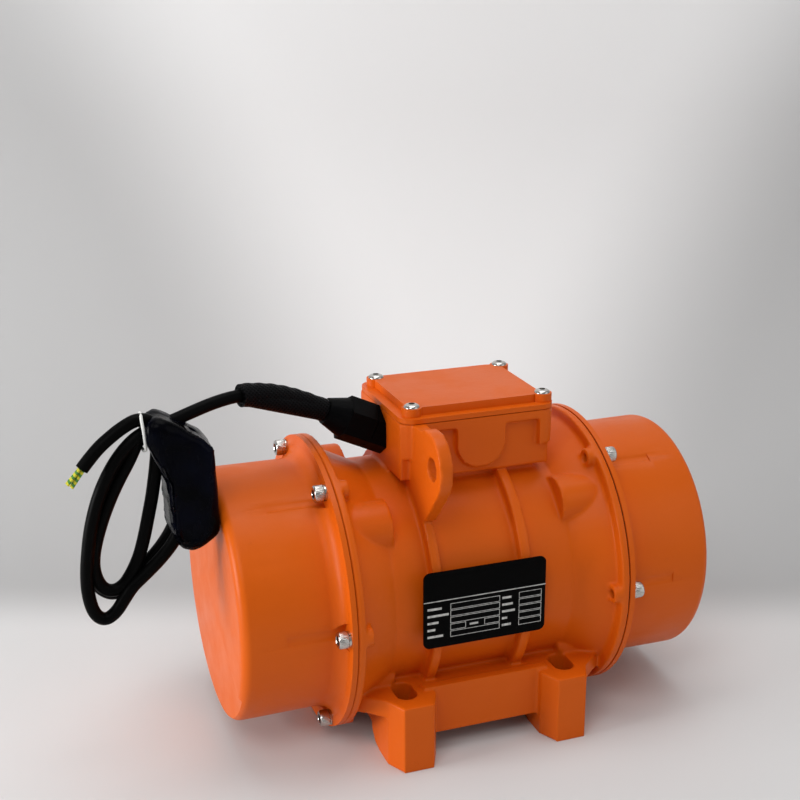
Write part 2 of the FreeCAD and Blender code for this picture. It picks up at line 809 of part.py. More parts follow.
def gland_parts():
    """Elbow gland in the end wall of the box: body, dome nut, seal and locknut."""
    centre = ("0", above("gland_height"))
    inner_wall = "box_left + box_wall"
    inside = ("box_left", f"{inner_wall} + gland_inside")
    collar = prism("gland_collar_hex", "gland_hex", outwards("-gland_collar", "gland_collar"), centre)
    thread = rod("gland_thread_outside", "gland_thread_outer", outwards("0", "gland_body_end"), centre)
    outside = lean(fuse("gland_outside", [collar, thread]))
    room = block("gland_wall", inside, ("-2 * gland_hex", "2 * gland_hex"),
                 (f"{centre[1]} - 2 * gland_hex", f"{centre[1]} + 2 * gland_hex"))
    stub = rod("gland_thread_inside", "gland_thread", inside, centre)
    solid = fuse("gland_body_solid", [cut("gland_elbow", outside, [room]), stub])
    straight = rod("gland_passage_inside", "gland_bore",
                   ("box_left - gland_bore / 2", f"{inner_wall} + gland_inside + 1"), centre)
    leaning = rod("gland_passage_outside", "gland_bore", outwards("0", "gland_body_end + 1"), centre)
    node(cut("gland_body_cut", solid, [straight, lean(group("gland_passage", [leaning]))]), "gland_body")

    hexagon = prism("gland_nut_hex", "gland_hex", outwards("gland_nut_start", "gland_nut_hex_end"), centre)
    nose = document.addObject("Part::Cone", "gland_nut_nose_cone")
    bind(nose, "Radius1", "gland_nut_nose")
    bind(nose, "Radius2", "gland_nut_taper")
    bind(nose, "Height", "gland_nut_end - gland_nut_hex_end")
    nose.Placement.Rotation = Rotation(Vector(0, 1, 0), 90)
    place(nose, outwards("0", "gland_nut_end")[0], centre[0], centre[1])
    hollow = rod("gland_nut_thread", "gland_thread_outer + thread_clearance",
                 outwards("gland_nut_start - 1", "gland_body_end + 1"), centre)
    mouth = rod("gland_nut_mouth", "gland_bore", outwards("gland_body_end", "gland_nut_end + 1"), centre)
    nut = cut("gland_nut_cut", fuse("gland_nut_solid", [hexagon, nose]), [hollow, mouth])
    node(lean(nut), "gland_nut")

    ring = rod("gland_seal_ring", "gland_bore - thread_clearance", outwards("gland_seal_start", "gland_body_end"),
               centre)
    hole = rod("gland_seal_hole", "cable_radius + sleeve_gap", outwards("gland_seal_start - 1", "gland_body_end + 1"),
               centre)
    node(lean(cut("gland_seal_cut", ring, [hole])), "gland_seal")

    flats = prism("locknut_hex", "locknut_flat / cos(30deg)", (inner_wall, f"{inner_wall} + locknut_height"),
                  centre, turn=30)
    opening = rod("locknut_thread", "gland_thread + nut_clearance",
                  (f"{inner_wall} - 1", f"{inner_wall} + locknut_height + 1"), centre)
    node(cut("locknut_cut", flats, [opening]), "gland_locknut")


def nameplate():
    """Blank rating plate with rounded corners on the flats of both ribs."""
    points = [
        ("plate_left", above("plate_bottom")), ("plate_right", above("plate_bottom")),
        ("plate_right", above("plate_top")), ("plate_left", above("plate_top")),
    ]
    plate = padded("plate_body", "XZ_Plane", points, "plate_thickness", (0, "-plate_face", 0))

    def is_corner(edge):
        ends = [vertex.Point for vertex in edge.Vertexes]
        return len(ends) == 2 and abs(ends[1].x - ends[0].x) < 0.01 and abs(ends[1].z - ends[0].z) < 0.01

    round_edges(plate, "plate_corners", "plate_corner", is_corner)
    node(plate, "nameplate")


# ---------------------------------------------------------------- covers


def weight_cover(word, side):
    """Cup over one pair of weights; pockets for its screws are cut into the fillet at its root."""
    face = "flange_outer + seal_thickness"
    cup = turned(f"{word}_cup", [
        (face, "cover_mouth"), (face, "flange_radius"),
        (f"{face} + cover_flange", "flange_radius"), (f"{face} + cover_flange", "cover_root_radius"),
        ("cover_end", "cover_end_radius"), ("cover_end", 0), ("cover_end - cover_end_wall", 0),
        ("cover_end - cover_end_wall", "cover_end_radius - cover_wall"),
    ], side)
    root = evaluate(f"{face} + cover_flange")
    round_edges(cup, f"{word}_cup_round", "cover_round", is_circle(side * size("cover_end"), size("cover_end_radius")))
    round_edges(cup, f"{word}_cup_fillet", "cover_fillet", is_circle(side * root, size("cover_root_radius")))
    tools = [end_panel(word, side)]
    for angle in BOLT_ANGLES:
        tools.append(rod(f"{word}_cup_hole_{angle}", "bolt_radius + hole_clearance",
                         along(side, f"{face} - 1", f"{face} + cover_flange + 1"), polar(BOLT_CIRCLE, angle)))
        tools.append(rod(f"{word}_cup_pocket_{angle}", "scallop_radius",
                         along(side, f"{face} + cover_flange", f"{face} + scallop_length"),
                         polar(BOLT_CIRCLE, angle)))
    node(cut(f"{word}_cover", cup, tools), f"{word}_weight_cover")


def end_panel(word, side):
    """Shallow step across the outer face of a cover."""
    shape = [(-14, 80), (7.5, 30), (8.2, 2.6), (-3.7, -7.7), (-54.3, -35.1), (-80, -49), (-75, -90), (90, -90), (95, 90)]
    points = [(f"{y}", f"{z}") for y, z in shape]
    start = "cover_end - panel_depth" if side == RIGHT else "-cover_end - 1"
    return padded(f"{word}_panel", "YZ_Plane", points, "panel_depth + 1", (start, 0, "axis_height"))


def cover_seal(word, side):
    """Flat ring between a cover and its flange."""
    span = along(side, "flange_outer", "flange_outer + seal_thickness")
    wide = along(side, "flange_outer - 1", "flange_outer + seal_thickness + 1")
    ring = rod(f"{word}_seal_disc", "flange_radius - seal_inset", span, ("0", "axis_height"))
    tools = [rod(f"{word}_seal_hole", "bell_bore", wide, ("0", "axis_height"))]
    for angle in BOLT_ANGLES:
        tools.append(rod(f"{word}_seal_hole_{angle}", "bolt_radius + hole_clearance", wide, polar(BOLT_CIRCLE, angle)))
    node(cut(f"{word}_seal", ring, tools), f"{word}_cover_seal")


def cap_screw(name, side, centre, radius, head_radius, head_height, tip, seat_at):
    """Socket cap screw along X with its head away from the motor's middle."""
    shank = rod(name + "_shank", radius, along(side, tip, seat_at), centre)
    head = rod(name + "_head", head_radius, along(side, seat_at, f"{seat_at} + {head_height}"), centre)
    socket = prism(name + "_socket", f"{head_radius} * 0.56",
                   along(side, f"{seat_at} + {head_height} * 0.45", f"{seat_at} + {head_height} + 1"), centre)
    return cut(name, fuse(name + "_solid", [shank, head]), [socket])


def cover_fasteners(word, side):
    """Cap screws of one cover and their spring washers."""
    seat_at = "flange_outer + seal_thickness + cover_flange"
    head_at = f"{seat_at} + washer_thickness"
    screws = []
    washers = []
    for angle in BOLT_ANGLES:
        centre = polar(BOLT_CIRCLE, angle)
        screws.append(cap_screw(f"{word}_screw_{angle}", side, centre, "bolt_radius", "bolt_head_radius",
                                "bolt_head_height", "bolt_tip", head_at))
        disc = rod(f"{word}_washer_disc_{angle}", "washer_radius", along(side, seat_at, head_at), centre)
        hole = rod(f"{word}_washer_hole_{angle}", "bolt_radius + 0.15",
                   along(side, f"{seat_at} - 1", f"{head_at} + 1"), centre)
        washers.append(cut(f"{word}_washer_{angle}", disc, [hole]))
    node(group(f"{word}_screw_group", screws), f"{word}_cover_screws")
    node(group(f"{word}_washer_group", washers), f"{word}_cover_washers")


# ---------------------------------------------------------------- stator and rotor


def polar_copies(name, item, count, step):
    """Items repeated round the shaft axis."""
    copies = []
    for index in range(count):
        copy = document.addObject("Part::Feature", f"{name}_{index}")
        shape = item.Shape.copy()
        shape.rotate(Vector(0, 0, size("axis_height")), Vector(1, 0, 0), index * step)
        copy.Shape = shape
        copies.append(copy)
    return copies


def stator():
    """Slotted stator core and the windings in its slots."""
    count = int(size("slot_count"))
    step = 360 / count
    outer = rod("core_disc", "core_outer", ("-core_half", "core_half"), ("0", "axis_height"))
    bore = rod("core_bore", "core_inner", ("-core_half - 1", "core_half + 1"), ("0", "axis_height"))
    opening = block("core_slot", ("-core_half - 1", "core_half + 1"),
                    ("-stator_slot_width / 2", "stator_slot_width / 2"),
                    ("axis_height + stator_slot_inner - 3", "axis_height + stator_slot_outer"))
    document.recompute()
    slots = polar_copies("core_slot_copy", opening, count, step)
    node(cut("stator_core_cut", outer, [bore] + slots), "stator_core")

    side = block("coil_side", ("-core_half - 1", "core_half + 1"),
                 ("-stator_slot_width / 2 + coil_gap", "stator_slot_width / 2 - coil_gap"),
                 ("axis_height + stator_slot_inner", "axis_height + stator_slot_outer - coil_gap"))
    document.recompute()
    coils = polar_copies("coil_side_copy", side, count, step)
    for word, sign in SIDES:
        disc = rod(f"coil_end_disc_{word}", "winding_outer", along(sign, "core_half + coil_gap", "winding_end"),
                   ("0", "axis_height"))
        hole = rod(f"coil_end_hole_{word}", "winding_inner", along(sign, "core_half - 1", "winding_end + 1"),
                   ("0", "axis_height"))
        coils.append(cut(f"coil_end_{word}", disc, [hole]))
    node(fuse("winding_solid", coils), "stator_windings")


def rotor():
    """Rotor core and its cast cage of bars and end rings."""
    count = int(size("bar_count"))
    bar = rod("cage_bar", "bar_radius", ("-core_half", "core_half"), ("0", "axis_height + bar_circle"))
    document.recompute()
    bars = polar_copies("cage_bar_copy", bar, count, 360 / count)
    disc = rod("rotor_disc", "rotor_radius", ("-core_half", "core_half"), ("0", "axis_height"))
    bore = rod("rotor_hole", "rotor_bore", ("-core_half - 1", "core_half + 1"), ("0", "axis_height"))
    node(cut("rotor_core_cut", disc, [bore] + bars), "rotor_core")
    rings = []
    for word, sign in SIDES:
        ring = rod(f"cage_ring_disc_{word}", "rotor_radius - 0.2", along(sign, "core_half", "ring_end"),
                   ("0", "axis_height"))
        hole = rod(f"cage_ring_hole_{word}", "ring_inner", along(sign, "core_half - 1", "ring_end + 1"),
                   ("0", "axis_height"))
        rings.append(cut(f"cage_ring_{word}", ring, [hole]))
    node(fuse("cage_solid", bars + rings), "rotor_cage")


def shaft():
    """Stepped shaft with a keyway and a circlip groove at each end."""
    half = [
        ("shaft_core_end", "rotor_bore"), ("shaft_core_end", "shoulder_radius"),
        ("bearing_start", "shoulder_radius"), ("bearing_start", "bearing_bore"),
        ("weight_seat", "bearing_bore"), ("weight_seat", "weight_bore"),
        ("circlip_start", "weight_bore"), ("circlip_start", "groove_radius"),
        ("circlip_start + circlip_thickness", "groove_radius"),
        ("circlip_start + circlip_thickness", "weight_bore"),
        ("shaft_end", "weight_bore"), ("shaft_end", 0),
    ]
    left = [(f"-({x})", radius) for x, radius in reversed(half)]
    body = turned("shaft_turned", left + half)
    keyways = []
    for word, side in SIDES:
        keyways.append(block(f"keyway_{word}", along(side, "weight_seat + 2", "weight_seat + 2 + key_length"),
                             ("-key_width / 2", "key_width / 2"),
                             ("axis_height - weight_bore - 1", "axis_height - key_low")))
        node(block(f"{word}_key_bar", along(side, "weight_seat + 2", "weight_seat + 2 + key_length"),
                   ("-key_width / 2", "key_width / 2"),
                   ("axis_height - key_high", "axis_height - key_low")), f"{word}_shaft_key")
    node(cut("shaft_cut", body, keyways), "shaft")


def bearing(word, side):
    """Cylindrical roller bearing: races, rollers and cage, with the grease cap behind it."""
    node(turned(f"{word}_inner_race_ring", [
        ("bearing_start", "bearing_bore"), ("bearing_start", "race_inner_radius"),
        ("bearing_end", "race_inner_radius"), ("bearing_end", "bearing_bore")], side),
        f"{word}_bearing_inner_race")
    node(turned(f"{word}_outer_race_ring", [
        ("bearing_start", "race_outer_radius"), ("bearing_start", "bearing_outer"),
        ("bearing_end", "bearing_outer"), ("bearing_end", "race_outer_radius")], side),
        f"{word}_bearing_outer_race")
    count = int(size("roller_count"))
    pitch = "(race_inner_radius + race_outer_radius) / 2"
    middle = "(bearing_start + bearing_end) / 2"
    span = along(side, f"{middle} - roller_length / 2", f"{middle} + roller_length / 2")
    seed = rod(f"{word}_roller_seed", "roller_radius", span, ("0", f"axis_height + {pitch}"))
    pocket = rod(f"{word}_pocket_seed", "pocket_radius",
                 along(side, f"{middle} - roller_length / 2 - 0.1", f"{middle} + roller_length / 2 + 0.1"),
                 ("0", f"axis_height + {pitch}"))
    document.recompute()
    node(group(f"{word}_roller_group", polar_copies(f"{word}_roller", seed, count, 360 / count)),
         f"{word}_bearing_rollers")
    pockets = polar_copies(f"{word}_pocket", pocket, count, 360 / count)
    ring = turned(f"{word}_cage_ring", [
        ("bearing_start + 1", f"{pitch} - cage_thickness / 2"), ("bearing_start + 1", f"{pitch} + cage_thickness / 2"),
        ("bearing_end - 1", f"{pitch} + cage_thickness / 2"), ("bearing_end - 1", f"{pitch} - cage_thickness / 2")],
        side)
    node(cut(f"{word}_cage", ring, pockets), f"{word}_bearing_cage")
    node(turned(f"{word}_cap_ring", [
        ("cap_start", "cap_inner"), ("cap_start", "hub_radius"), ("hub_start", "hub_radius"),
        ("hub_start", "cap_inner")], side), f"{word}_grease_cap")


def bearing_flange(word, side):
    """Bearing housing that closes one end of the barrel, and its four bolts."""
    ring = turned(f"{word}_flange_ring", [
        ("hub_start", "bearing_outer"), ("hub_start", "hub_radius"), ("spigot_start", "hub_radius"),
        ("spigot_start", "spigot_radius"), ("seat", "spigot_radius"), ("seat", "disc_radius"),
        ("disc_end", "disc_radius"), ("disc_end", "shaft_hole"), ("bearing_end", "shaft_hole"),
        ("bearing_end", "bearing_outer")], side)
    holes = [rod(f"{word}_flange_hole_{angle}", "flange_bolt_radius + hole_clearance", along(side, "seat - 1", "disc_end + 1"),
                 polar("boss_circle", angle)) for angle in BEARING_BOLT_ANGLES]
    node(cut(f"{word}_flange", ring, holes), f"{word}_bearing_flange")
    bolts = [cap_screw(f"{word}_flange_bolt_{angle}", side, polar("boss_circle", angle), "flange_bolt_radius",
                       "flange_bolt_head", "flange_bolt_head_height", "flange_bolt_tip", "disc_end")
             for angle in BEARING_BOLT_ANGLES]
    node(group(f"{word}_flange_bolt_group", bolts), f"{word}_bearing_flange_bolts")


# ---------------------------------------------------------------- eccentric weights


def weight(name, side, start, bore, keyway=()):
    """Half-round weight that hangs below the shaft, with a slit clamp above it."""
    span = along(side, start, f"{start} + weight_thickness")
    sector = document.addObject("Part::Cylinder", name + "_sector")
    bind(sector, "Radius", "weight_radius")
    bind(sector, "Height", "weight_thickness")
    bind(sector, "Angle", "weight_angle")
    downwards = Rotation(Vector(1, 0, 0), -size("weight_angle") / 2)
    sector.Placement.Rotation = downwards.multiply(Rotation(Vector(0, 1, 0), 90))
    place(sector, span[0], 0, "axis_height")
    hub = rod(name + "_hub", "weight_hub", span, ("0", "axis_height"))
    clamp = block(name + "_clamp", span, ("-clamp_half", "clamp_half"), ("axis_height", "axis_height + clamp_top"))
    wide = along(side, f"{start} - 1", f"{start} + weight_thickness + 1")
    bolt_axis = (middle_of(side, start), "axis_height + clamp_bolt_height")
    tools = [
        rod(name + "_bore", bore, wide, ("0", "axis_height")),
        block(name + "_slit", wide, ("-clamp_slit / 2", "clamp_slit / 2"),
              ("axis_height", "axis_height + clamp_top + 1")),
        rod(name + "_bolt_hole", "clamp_bolt_radius + thread_clearance", ("-weight_hub", "weight_hub"), bolt_axis, "y"),
        rod(name + "_head_seat", "clamp_head_radius + clamp_seat_clearance", ("-weight_hub", "-clamp_half"),
            bolt_axis, "y"),
    ]
    return cut(name, fuse(name + "_solid", [sector, hub, clamp]), tools + list(keyway))


def middle_of(side, start):
    """X of the middle of a weight that starts at a distance from the motor's middle."""
    return f"{side} * ({start} + weight_thickness / 2)"


def clamp_bolt(name, side, start):
    """Cap screw that closes the clamp of a weight."""
    centre = (middle_of(side, start), "axis_height + clamp_bolt_height")
    shank = rod(name + "_shank", "clamp_bolt_radius", ("-clamp_half", "clamp_half"), centre, "y")
    head = rod(name + "_head", "clamp_head_radius", ("-clamp_half - clamp_head_height", "-clamp_half"), centre, "y")
    return fuse(name, [shank, head])


def weights(word, side):
    """Fixed and adjustable weight of one shaft end, their clamp bolts and the circlip."""
    fixed_start = "weight_seat"
    loose_start = "weight_seat + weight_thickness + weight_gap"
    keyway = block(f"{word}_fixed_keyway", along(side, "weight_seat - 1", "weight_seat + weight_thickness + 1"),
                   ("-key_width / 2", "key_width / 2"), ("axis_height - key_high", "axis_height"))
    node(weight(f"{word}_fixed", side, fixed_start, "weight_bore", [keyway]), f"{word}_fixed_weight")
    node(weight(f"{word}_loose", side, loose_start, "weight_bore + thread_clearance"), f"{word}_adjustable_weight")
    node(clamp_bolt(f"{word}_fixed_bolt", side, fixed_start), f"{word}_fixed_weight_bolt")
    node(clamp_bolt(f"{word}_loose_bolt", side, loose_start), f"{word}_adjustable_weight_bolt")
    node(turned(f"{word}_circlip_ring", [
        ("circlip_start + 0.05", "groove_radius + 0.05"), ("circlip_start + 0.05", "circlip_radius"),
        ("circlip_start + circlip_thickness - 0.05", "circlip_radius"),
        ("circlip_start + circlip_thickness - 0.05", "groove_radius + 0.05")], side), f"{word}_circlip")


# ---------------------------------------------------------------- cable


def route_path(points):
    """Straight runs joined by tangent arcs, each as large as its two runs allow."""
    corners = [Vector(x, y, z + size("axis_height")) for x, y, z in points]
    edges = []
    radii = []
    start = corners[0]
    for before, corner, after in zip(corners, corners[1:], corners[2:]):
        into = (corner - before).normalize()
        out = (after - corner).normalize()
        half_turn = into.getAngle(out) / 2
        reach = 0.45 * min((corner - before).Length, (after - corner).Length)
        radius = reach / math.tan(half_turn)
        first = corner - into * reach
        last = corner + out * reach
        inward = (out - into).normalize()
        middle = corner + inward * (radius / math.cos(half_turn) - radius)
        edges.append(Part.LineSegment(start, first).toShape())
        edges.append(Part.Arc(first, middle, last).toShape())
        radii.append(round(radius, 1))
        start = last
    edges.append(Part.LineSegment(start, corners[-1]).toShape())
    return Part.Wire(edges), radii


def tube(path, radius):
    """Solid of round section along a path."""
    start = path.Edges[0]
    direction = start.tangentAt(start.FirstParameter)
    circle = Part.Wire([Part.Circle(start.valueAt(start.FirstParameter), direction, radius).toShape()])
    return path.makePipeShell([circle], True, False)


def cable_feature(name, label, shape):
    """Sub-part whose shape follows the cable's route."""
    item = document.addObject("Part::Feature", name)
    item.Shape = shape
    return node(item, label)


def cable():
    """Cable from the gland to the hank, its sleeve, its free tail and the bared cores."""
    path, radii = route_path(CABLE_ROUTE)
    radius = size("cable_radius")
    solid = tube(path, radius)
    print("cable radii", radii, "volume", round(solid.Volume), "expected",
          round(math.pi * radius ** 2 * path.Length), "length", round(path.Length, 1))
    cable_feature("cable_tube", "power_cable", solid)

    sleeve_path, _ = route_path(CABLE_ROUTE[SLEEVE_START:SLEEVE_END + 1])
    outer = tube(sleeve_path, size("sleeve_radius"))
    cable_feature("sleeve_tube", "cable_sleeve", outer.cut(tube(path, radius + size("sleeve_gap"))))

    tail_path, tail_radii = route_path(TAIL_ROUTE)
    tail = tube(tail_path, radius)
    print("tail radii", tail_radii, "length", round(tail_path.Length, 1))
    cable_feature("tail_tube", "cable_tail", tail)

    end = Vector(*TAIL_ROUTE[-1]) + Vector(0, 0, size("axis_height"))
    direction = (Vector(*TAIL_ROUTE[-1]) - Vector(*TAIL_ROUTE[-2])).normalize()
    across = direction.cross(Vector(0, 1, 0)).normalize()
    other = direction.cross(across)
    cores = []
    for index in range(4):
        angle = math.radians(45 + 90 * index)
        offset = (across * math.cos(angle) + other * math.sin(angle)) * size("core_spread")
        cores.append(Part.makeCylinder(size("core_radius"), size("core_length"), end + offset, direction))
    cable_feature("core_wires", "cable_cores", Part.makeCompound(cores))


def smooth_slab(points, half_thickness):
    """Upright slab inside a smooth closed line through the points, in the plane of the hank."""
    y = size("hank_y") + half_thickness
    curve = Part.BSplineCurve()
    curve.interpolate([Vector(x, y, z + size("axis_height")) for x, z in points], PeriodicFlag=True)
    face = Part.Face(Part.Wire([curve.toShape()]))
    return face.extrude(Vector(0, -2 * half_thickness, 0))


def hank():
    """Loose hank of cable turns, the film wrap on one side of it and the tie."""
    half = size("hank_thickness") / 2
    ring = smooth_slab(HANK_OUTSIDE, half).cut(smooth_slab(HANK_OPENING, half + 1))
    cable_feature("hank_ring", "cable_hank", ring)

    points = [(x or "-cover_end - wrap_gap", above(z)) for x, z in WRAP_OUTLINE]
    wrap = padded("wrap", "XZ_Plane", points, "wrap_thickness", (0, "hank_y + wrap_thickness / 2", 0))
    round_edges(wrap, "wrap_uprights", "wrap_upright_round", runs_along_y)
    rim = size("wrap_thickness") / 2
    round_edges(wrap, "wrap_rims", "wrap_rim_round", lambda edge: is_on_rim(edge, rim))
    node(wrap, "hank_wrap")

    span = ("tie_end - tie_width", "tie_end")
    half_gap = "hank_thickness / 2 + wrap_gap"
    band = block("tie_outside", span,
                 (f"hank_y - ({half_gap}) - tie_thickness", f"hank_y + {half_gap} + tie_thickness"),
                 (above("tie_low - tie_thickness"), above("tie_high + tie_thickness")))
    gap = block("tie_inside", ("tie_end - tie_width - 1", "tie_end + 1"),
                (f"hank_y - ({half_gap})", f"hank_y + {half_gap}"), (above("tie_low"), above("tie_high")))
    node(cut("tie_band", band, [gap]), "hank_tie")


def runs_along_y(edge):
    """Test for a straight edge along Y."""
    ends = [vertex.Point for vertex in edge.Vertexes]
    if len(ends) < 2:
        return False
    run = ends[1] - ends[0]
    return abs(run.x) < 0.01 and abs(run.z) < 0.01


def is_on_rim(edge, half):
    """Test for an edge in the front or back face of the film wrap's body."""
    box = edge.BoundBox
    flat = box.YMax - box.YMin < 0.01
    return flat and (abs(box.YMax) < 0.01 or abs(box.YMax + 2 * half) < 0.01)


# ---------------------------------------------------------------- the whole motor


def build():
    """Make every sub-part."""
    fill_sheet()
    motor_housing()
    terminal_box_lid()
    terminal_box_gasket()
    lid_screws()
    terminal_block_parts()
    gland_parts()
    nameplate()
    stator()
    rotor()
    shaft()
    for word, side in SIDES:
        weight_cover(word, side)
        cover_seal(word, side)
        cover_fasteners(word, side)
        bearing(word, side)
        bearing_flange(word, side)
        weights(word, side)
    cable()
    hank()
    document.recompute()


def check():
    """Stop if any object failed or any sub-part is not a valid shape."""
    for item in document.Objects:
        if {"Invalid", "Error"} & set(item.State):
            raise RuntimeError(f"{item.Name} failed: {item.State}")
    for item in nodes:
        if item.Shape.isNull() or not item.Shape.isValid():
            raise RuntimeError(item.Label + " has no valid shape")


def export():
    """Write one STEP file for each sub-part."""
    os.makedirs("parts", exist_ok=True)
    for item in nodes:
        item.Shape.exportStep(f"parts/{item.Label}.step")
        box = item.Shape.BoundBox
        print(f"{item.Label:32s} {len(item.Shape.Solids):2d} solids {item.Shape.Volume:12.1f} mm3  "
              f"x {box.XMin:.1f}..{box.XMax:.1f}  y {box.YMin:.1f}..{box.YMax:.1f}  z {box.ZMin:.1f}..{box.ZMax:.1f}")
    print(len(nodes), "sub-parts")


build()
check()
export()
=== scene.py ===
"""Dresses the vibration motor: castings with soft edges, knurled screws, the loose cable
hank, painted and printed surfaces, and a plain studio round them.

All lengths are metres in the frame of the CAD parts: X along the shaft, Z up.
"""

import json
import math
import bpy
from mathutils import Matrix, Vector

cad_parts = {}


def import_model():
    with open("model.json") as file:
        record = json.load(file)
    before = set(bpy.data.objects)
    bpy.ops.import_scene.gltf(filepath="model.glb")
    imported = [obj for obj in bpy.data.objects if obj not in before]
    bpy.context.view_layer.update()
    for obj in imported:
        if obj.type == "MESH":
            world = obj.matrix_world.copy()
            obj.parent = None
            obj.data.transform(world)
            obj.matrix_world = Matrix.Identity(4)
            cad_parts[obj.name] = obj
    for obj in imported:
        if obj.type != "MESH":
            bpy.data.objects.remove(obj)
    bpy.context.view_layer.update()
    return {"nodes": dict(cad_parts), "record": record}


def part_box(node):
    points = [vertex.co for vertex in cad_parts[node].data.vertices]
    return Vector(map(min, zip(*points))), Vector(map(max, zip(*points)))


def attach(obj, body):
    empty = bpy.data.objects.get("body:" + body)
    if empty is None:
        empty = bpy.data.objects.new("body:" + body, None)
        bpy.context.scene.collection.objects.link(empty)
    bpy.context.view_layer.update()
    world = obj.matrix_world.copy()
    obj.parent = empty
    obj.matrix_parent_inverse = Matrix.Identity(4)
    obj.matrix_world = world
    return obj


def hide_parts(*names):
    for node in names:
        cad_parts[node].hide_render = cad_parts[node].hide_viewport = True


bl_info = {
    "name": "Vibration motor dressing",
    "version": (1, 0, 0),
    "blender": (4, 5, 0),
    "location": "View3D > Sidebar > Motor",
    "description": "Builds the detailed pieces, materials and studio of the vibration motor",
    "category": "Object",
}

import bmesh
import bpy
from mathutils import Matrix, Vector, noise

MM = 0.001
ROOT = "motor_body"

# Route of the cable, in millimetres: x, y and height above the shaft axis.
CABLE_ROUTE = (
    (-57, 0, 100.8), (-78, 0, 110.6), (-90.5, -0.5, 116.8), (-101, -2, 121.5), (-112, -4.5, 125.3),
    (-123, -7.5, 127.8), (-133, -10.2, 128.9), (-147, -14.5, 128), (-162, -19.5, 125.2), (-176, -24, 122),
    (-188, -27, 120),
)
TAIL_ROUTE = ((-195, -29, 127.5), (-203, -30.5, 124.3), (-211, -32, 119.5), (-219.5, -33, 113), (-227.5, -34, 103.8))

# Loose turns of the hank, each at its own depth: x and height above the axis.
HANK_TURNS = (
    (-32.5, (
        (-197, 118), (-205.5, 110), (-213.5, 98.5), (-220, 85), (-225, 69), (-228, 53), (-229.8, 38),
        (-229.5, 25), (-227, 14.5), (-221.5, 9.8), (-215, 13.5), (-209.5, 21.5), (-204.5, 28.5), (-196.5, 35),
        (-187, 43.5), (-178, 54), (-170, 70), (-167, 92), (-172, 110), (-184, 119),
    )),
    (-25.0, (
        (-193.5, 117), (-200.5, 104), (-208.5, 91.5), (-215.5, 77.5), (-221, 63), (-225, 49), (-226, 38),
        (-223, 27.5), (-216, 22), (-209, 23.5), (-202, 30.5), (-194, 39), (-185, 48), (-177, 60), (-171, 78),
        (-170, 96), (-175, 111), (-185, 119),
    )),
    (-29.0, (
        (-194.5, 117), (-200, 105), (-208, 92), (-215, 78), (-220.5, 64), (-224.5, 50), (-225, 39),
        (-222, 29.5), (-216, 25.5), (-209, 28), (-203.5, 36), (-199, 45), (-195.5, 56), (-192.5, 68),
        (-189.5, 80), (-187, 93), (-185, 106), (-184, 117), (-187, 126),
    )),
)

BOLT_ANGLES = (30, 90, 150, 210, 270, 330)

# Lamps of the studio: name, place, size and power; each is aimed at the middle of the shaft.
LAMPS = (
    ("key", (-0.9, -1.1, 1.6), 0.8, 8),
    ("fill", (1.3, -1.2, 0.9), 1.4, 5),
    ("side", (-1.5, 0.0, 0.34), 0.6, 16),
    ("top", (0.1, 0.1, 1.9), 1.2, 14),
)
WORLD_STRENGTH = 0.27

# The film on the hank: cell of its remesh, rounds of smoothing, and how it is drawn in. Its free edge moves
# towards the cover below FILM_NECK, and its lower end is lifted; heights are above the shaft axis.
FILM_CELL = 0.0013
FILM_SMOOTHING = 16
FILM_EDGE_START, FILM_EDGE_WIDTH, FILM_EDGE_SHIFT = -0.175, 0.015, 0.008
FILM_NECK, FILM_NECK_DEPTH = 0.115, 0.025
FILM_FOOT, FILM_FOOT_LIFT = 0.075, 0.12

# The tie: its shift from the CAD tie, how far it is drawn together, and the radius of its band.
TIE_SHIFT = (0.005, 0, -0.001)
TIE_SQUEEZE = 0.82
TIE_BAND_RADIUS = 0.0009

LID_SCREW_RADIUS, LID_SCREW_HEIGHT, LID_SCREW_SOCKET = 0.0049, 0.0022, 0.0018
SIDES = (("left", -1), ("right", 1))


def axis_height():
    """Height of the shaft axis above the floor."""
    low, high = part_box("shaft")
    return (low.z + high.z) / 2


def place_of(point):
    """Metres in the frame of a route point."""
    x, y, z = point
    return Vector((x * MM, y * MM, z * MM + axis_height()))


# ---------------------------------------------------------------- settings


class MotorCableSettings(bpy.types.PropertyGroup):
    """Sizes of the cable and of what is on it."""
    diameter: bpy.props.FloatProperty(
        name="Diameter", description="Outside diameter of the cable", default=0.0076, unit="LENGTH")
    sleeve_radius: bpy.props.FloatProperty(
        name="Sleeve radius", description="Outside radius of the braided sleeve", default=0.007, unit="LENGTH")
    sleeve_wall: bpy.props.FloatProperty(
        name="Sleeve wall", description="Wall of the braided sleeve", default=0.0012, unit="LENGTH")
    core_radius: bpy.props.FloatProperty(
        name="Core radius", description="Radius of each bared core", default=0.0009, unit="LENGTH")
    wrinkle: bpy.props.FloatProperty(
        name="Wrinkle", description="How deep the film on the hank is wrinkled", default=0.0016, unit="LENGTH")


class MotorCastingSettings(bpy.types.PropertyGroup):
    """How the painted castings are softened."""
    cell: bpy.props.FloatProperty(
        name="Cell", description="Size of a cell when a casting is remeshed", default=0.001, unit="LENGTH")
    smoothing: bpy.props.IntProperty(
        name="Smoothing", description="Rounds of smoothing that make the cast fillets", default=4, min=0)
    faces: bpy.props.IntProperty(
        name="Faces", description="Most triangles left in a casting", default=170000, min=1000)
    edge: bpy.props.FloatProperty(
        name="Edge", description="Rounding of the edges of small parts", default=0.0005, unit="LENGTH")


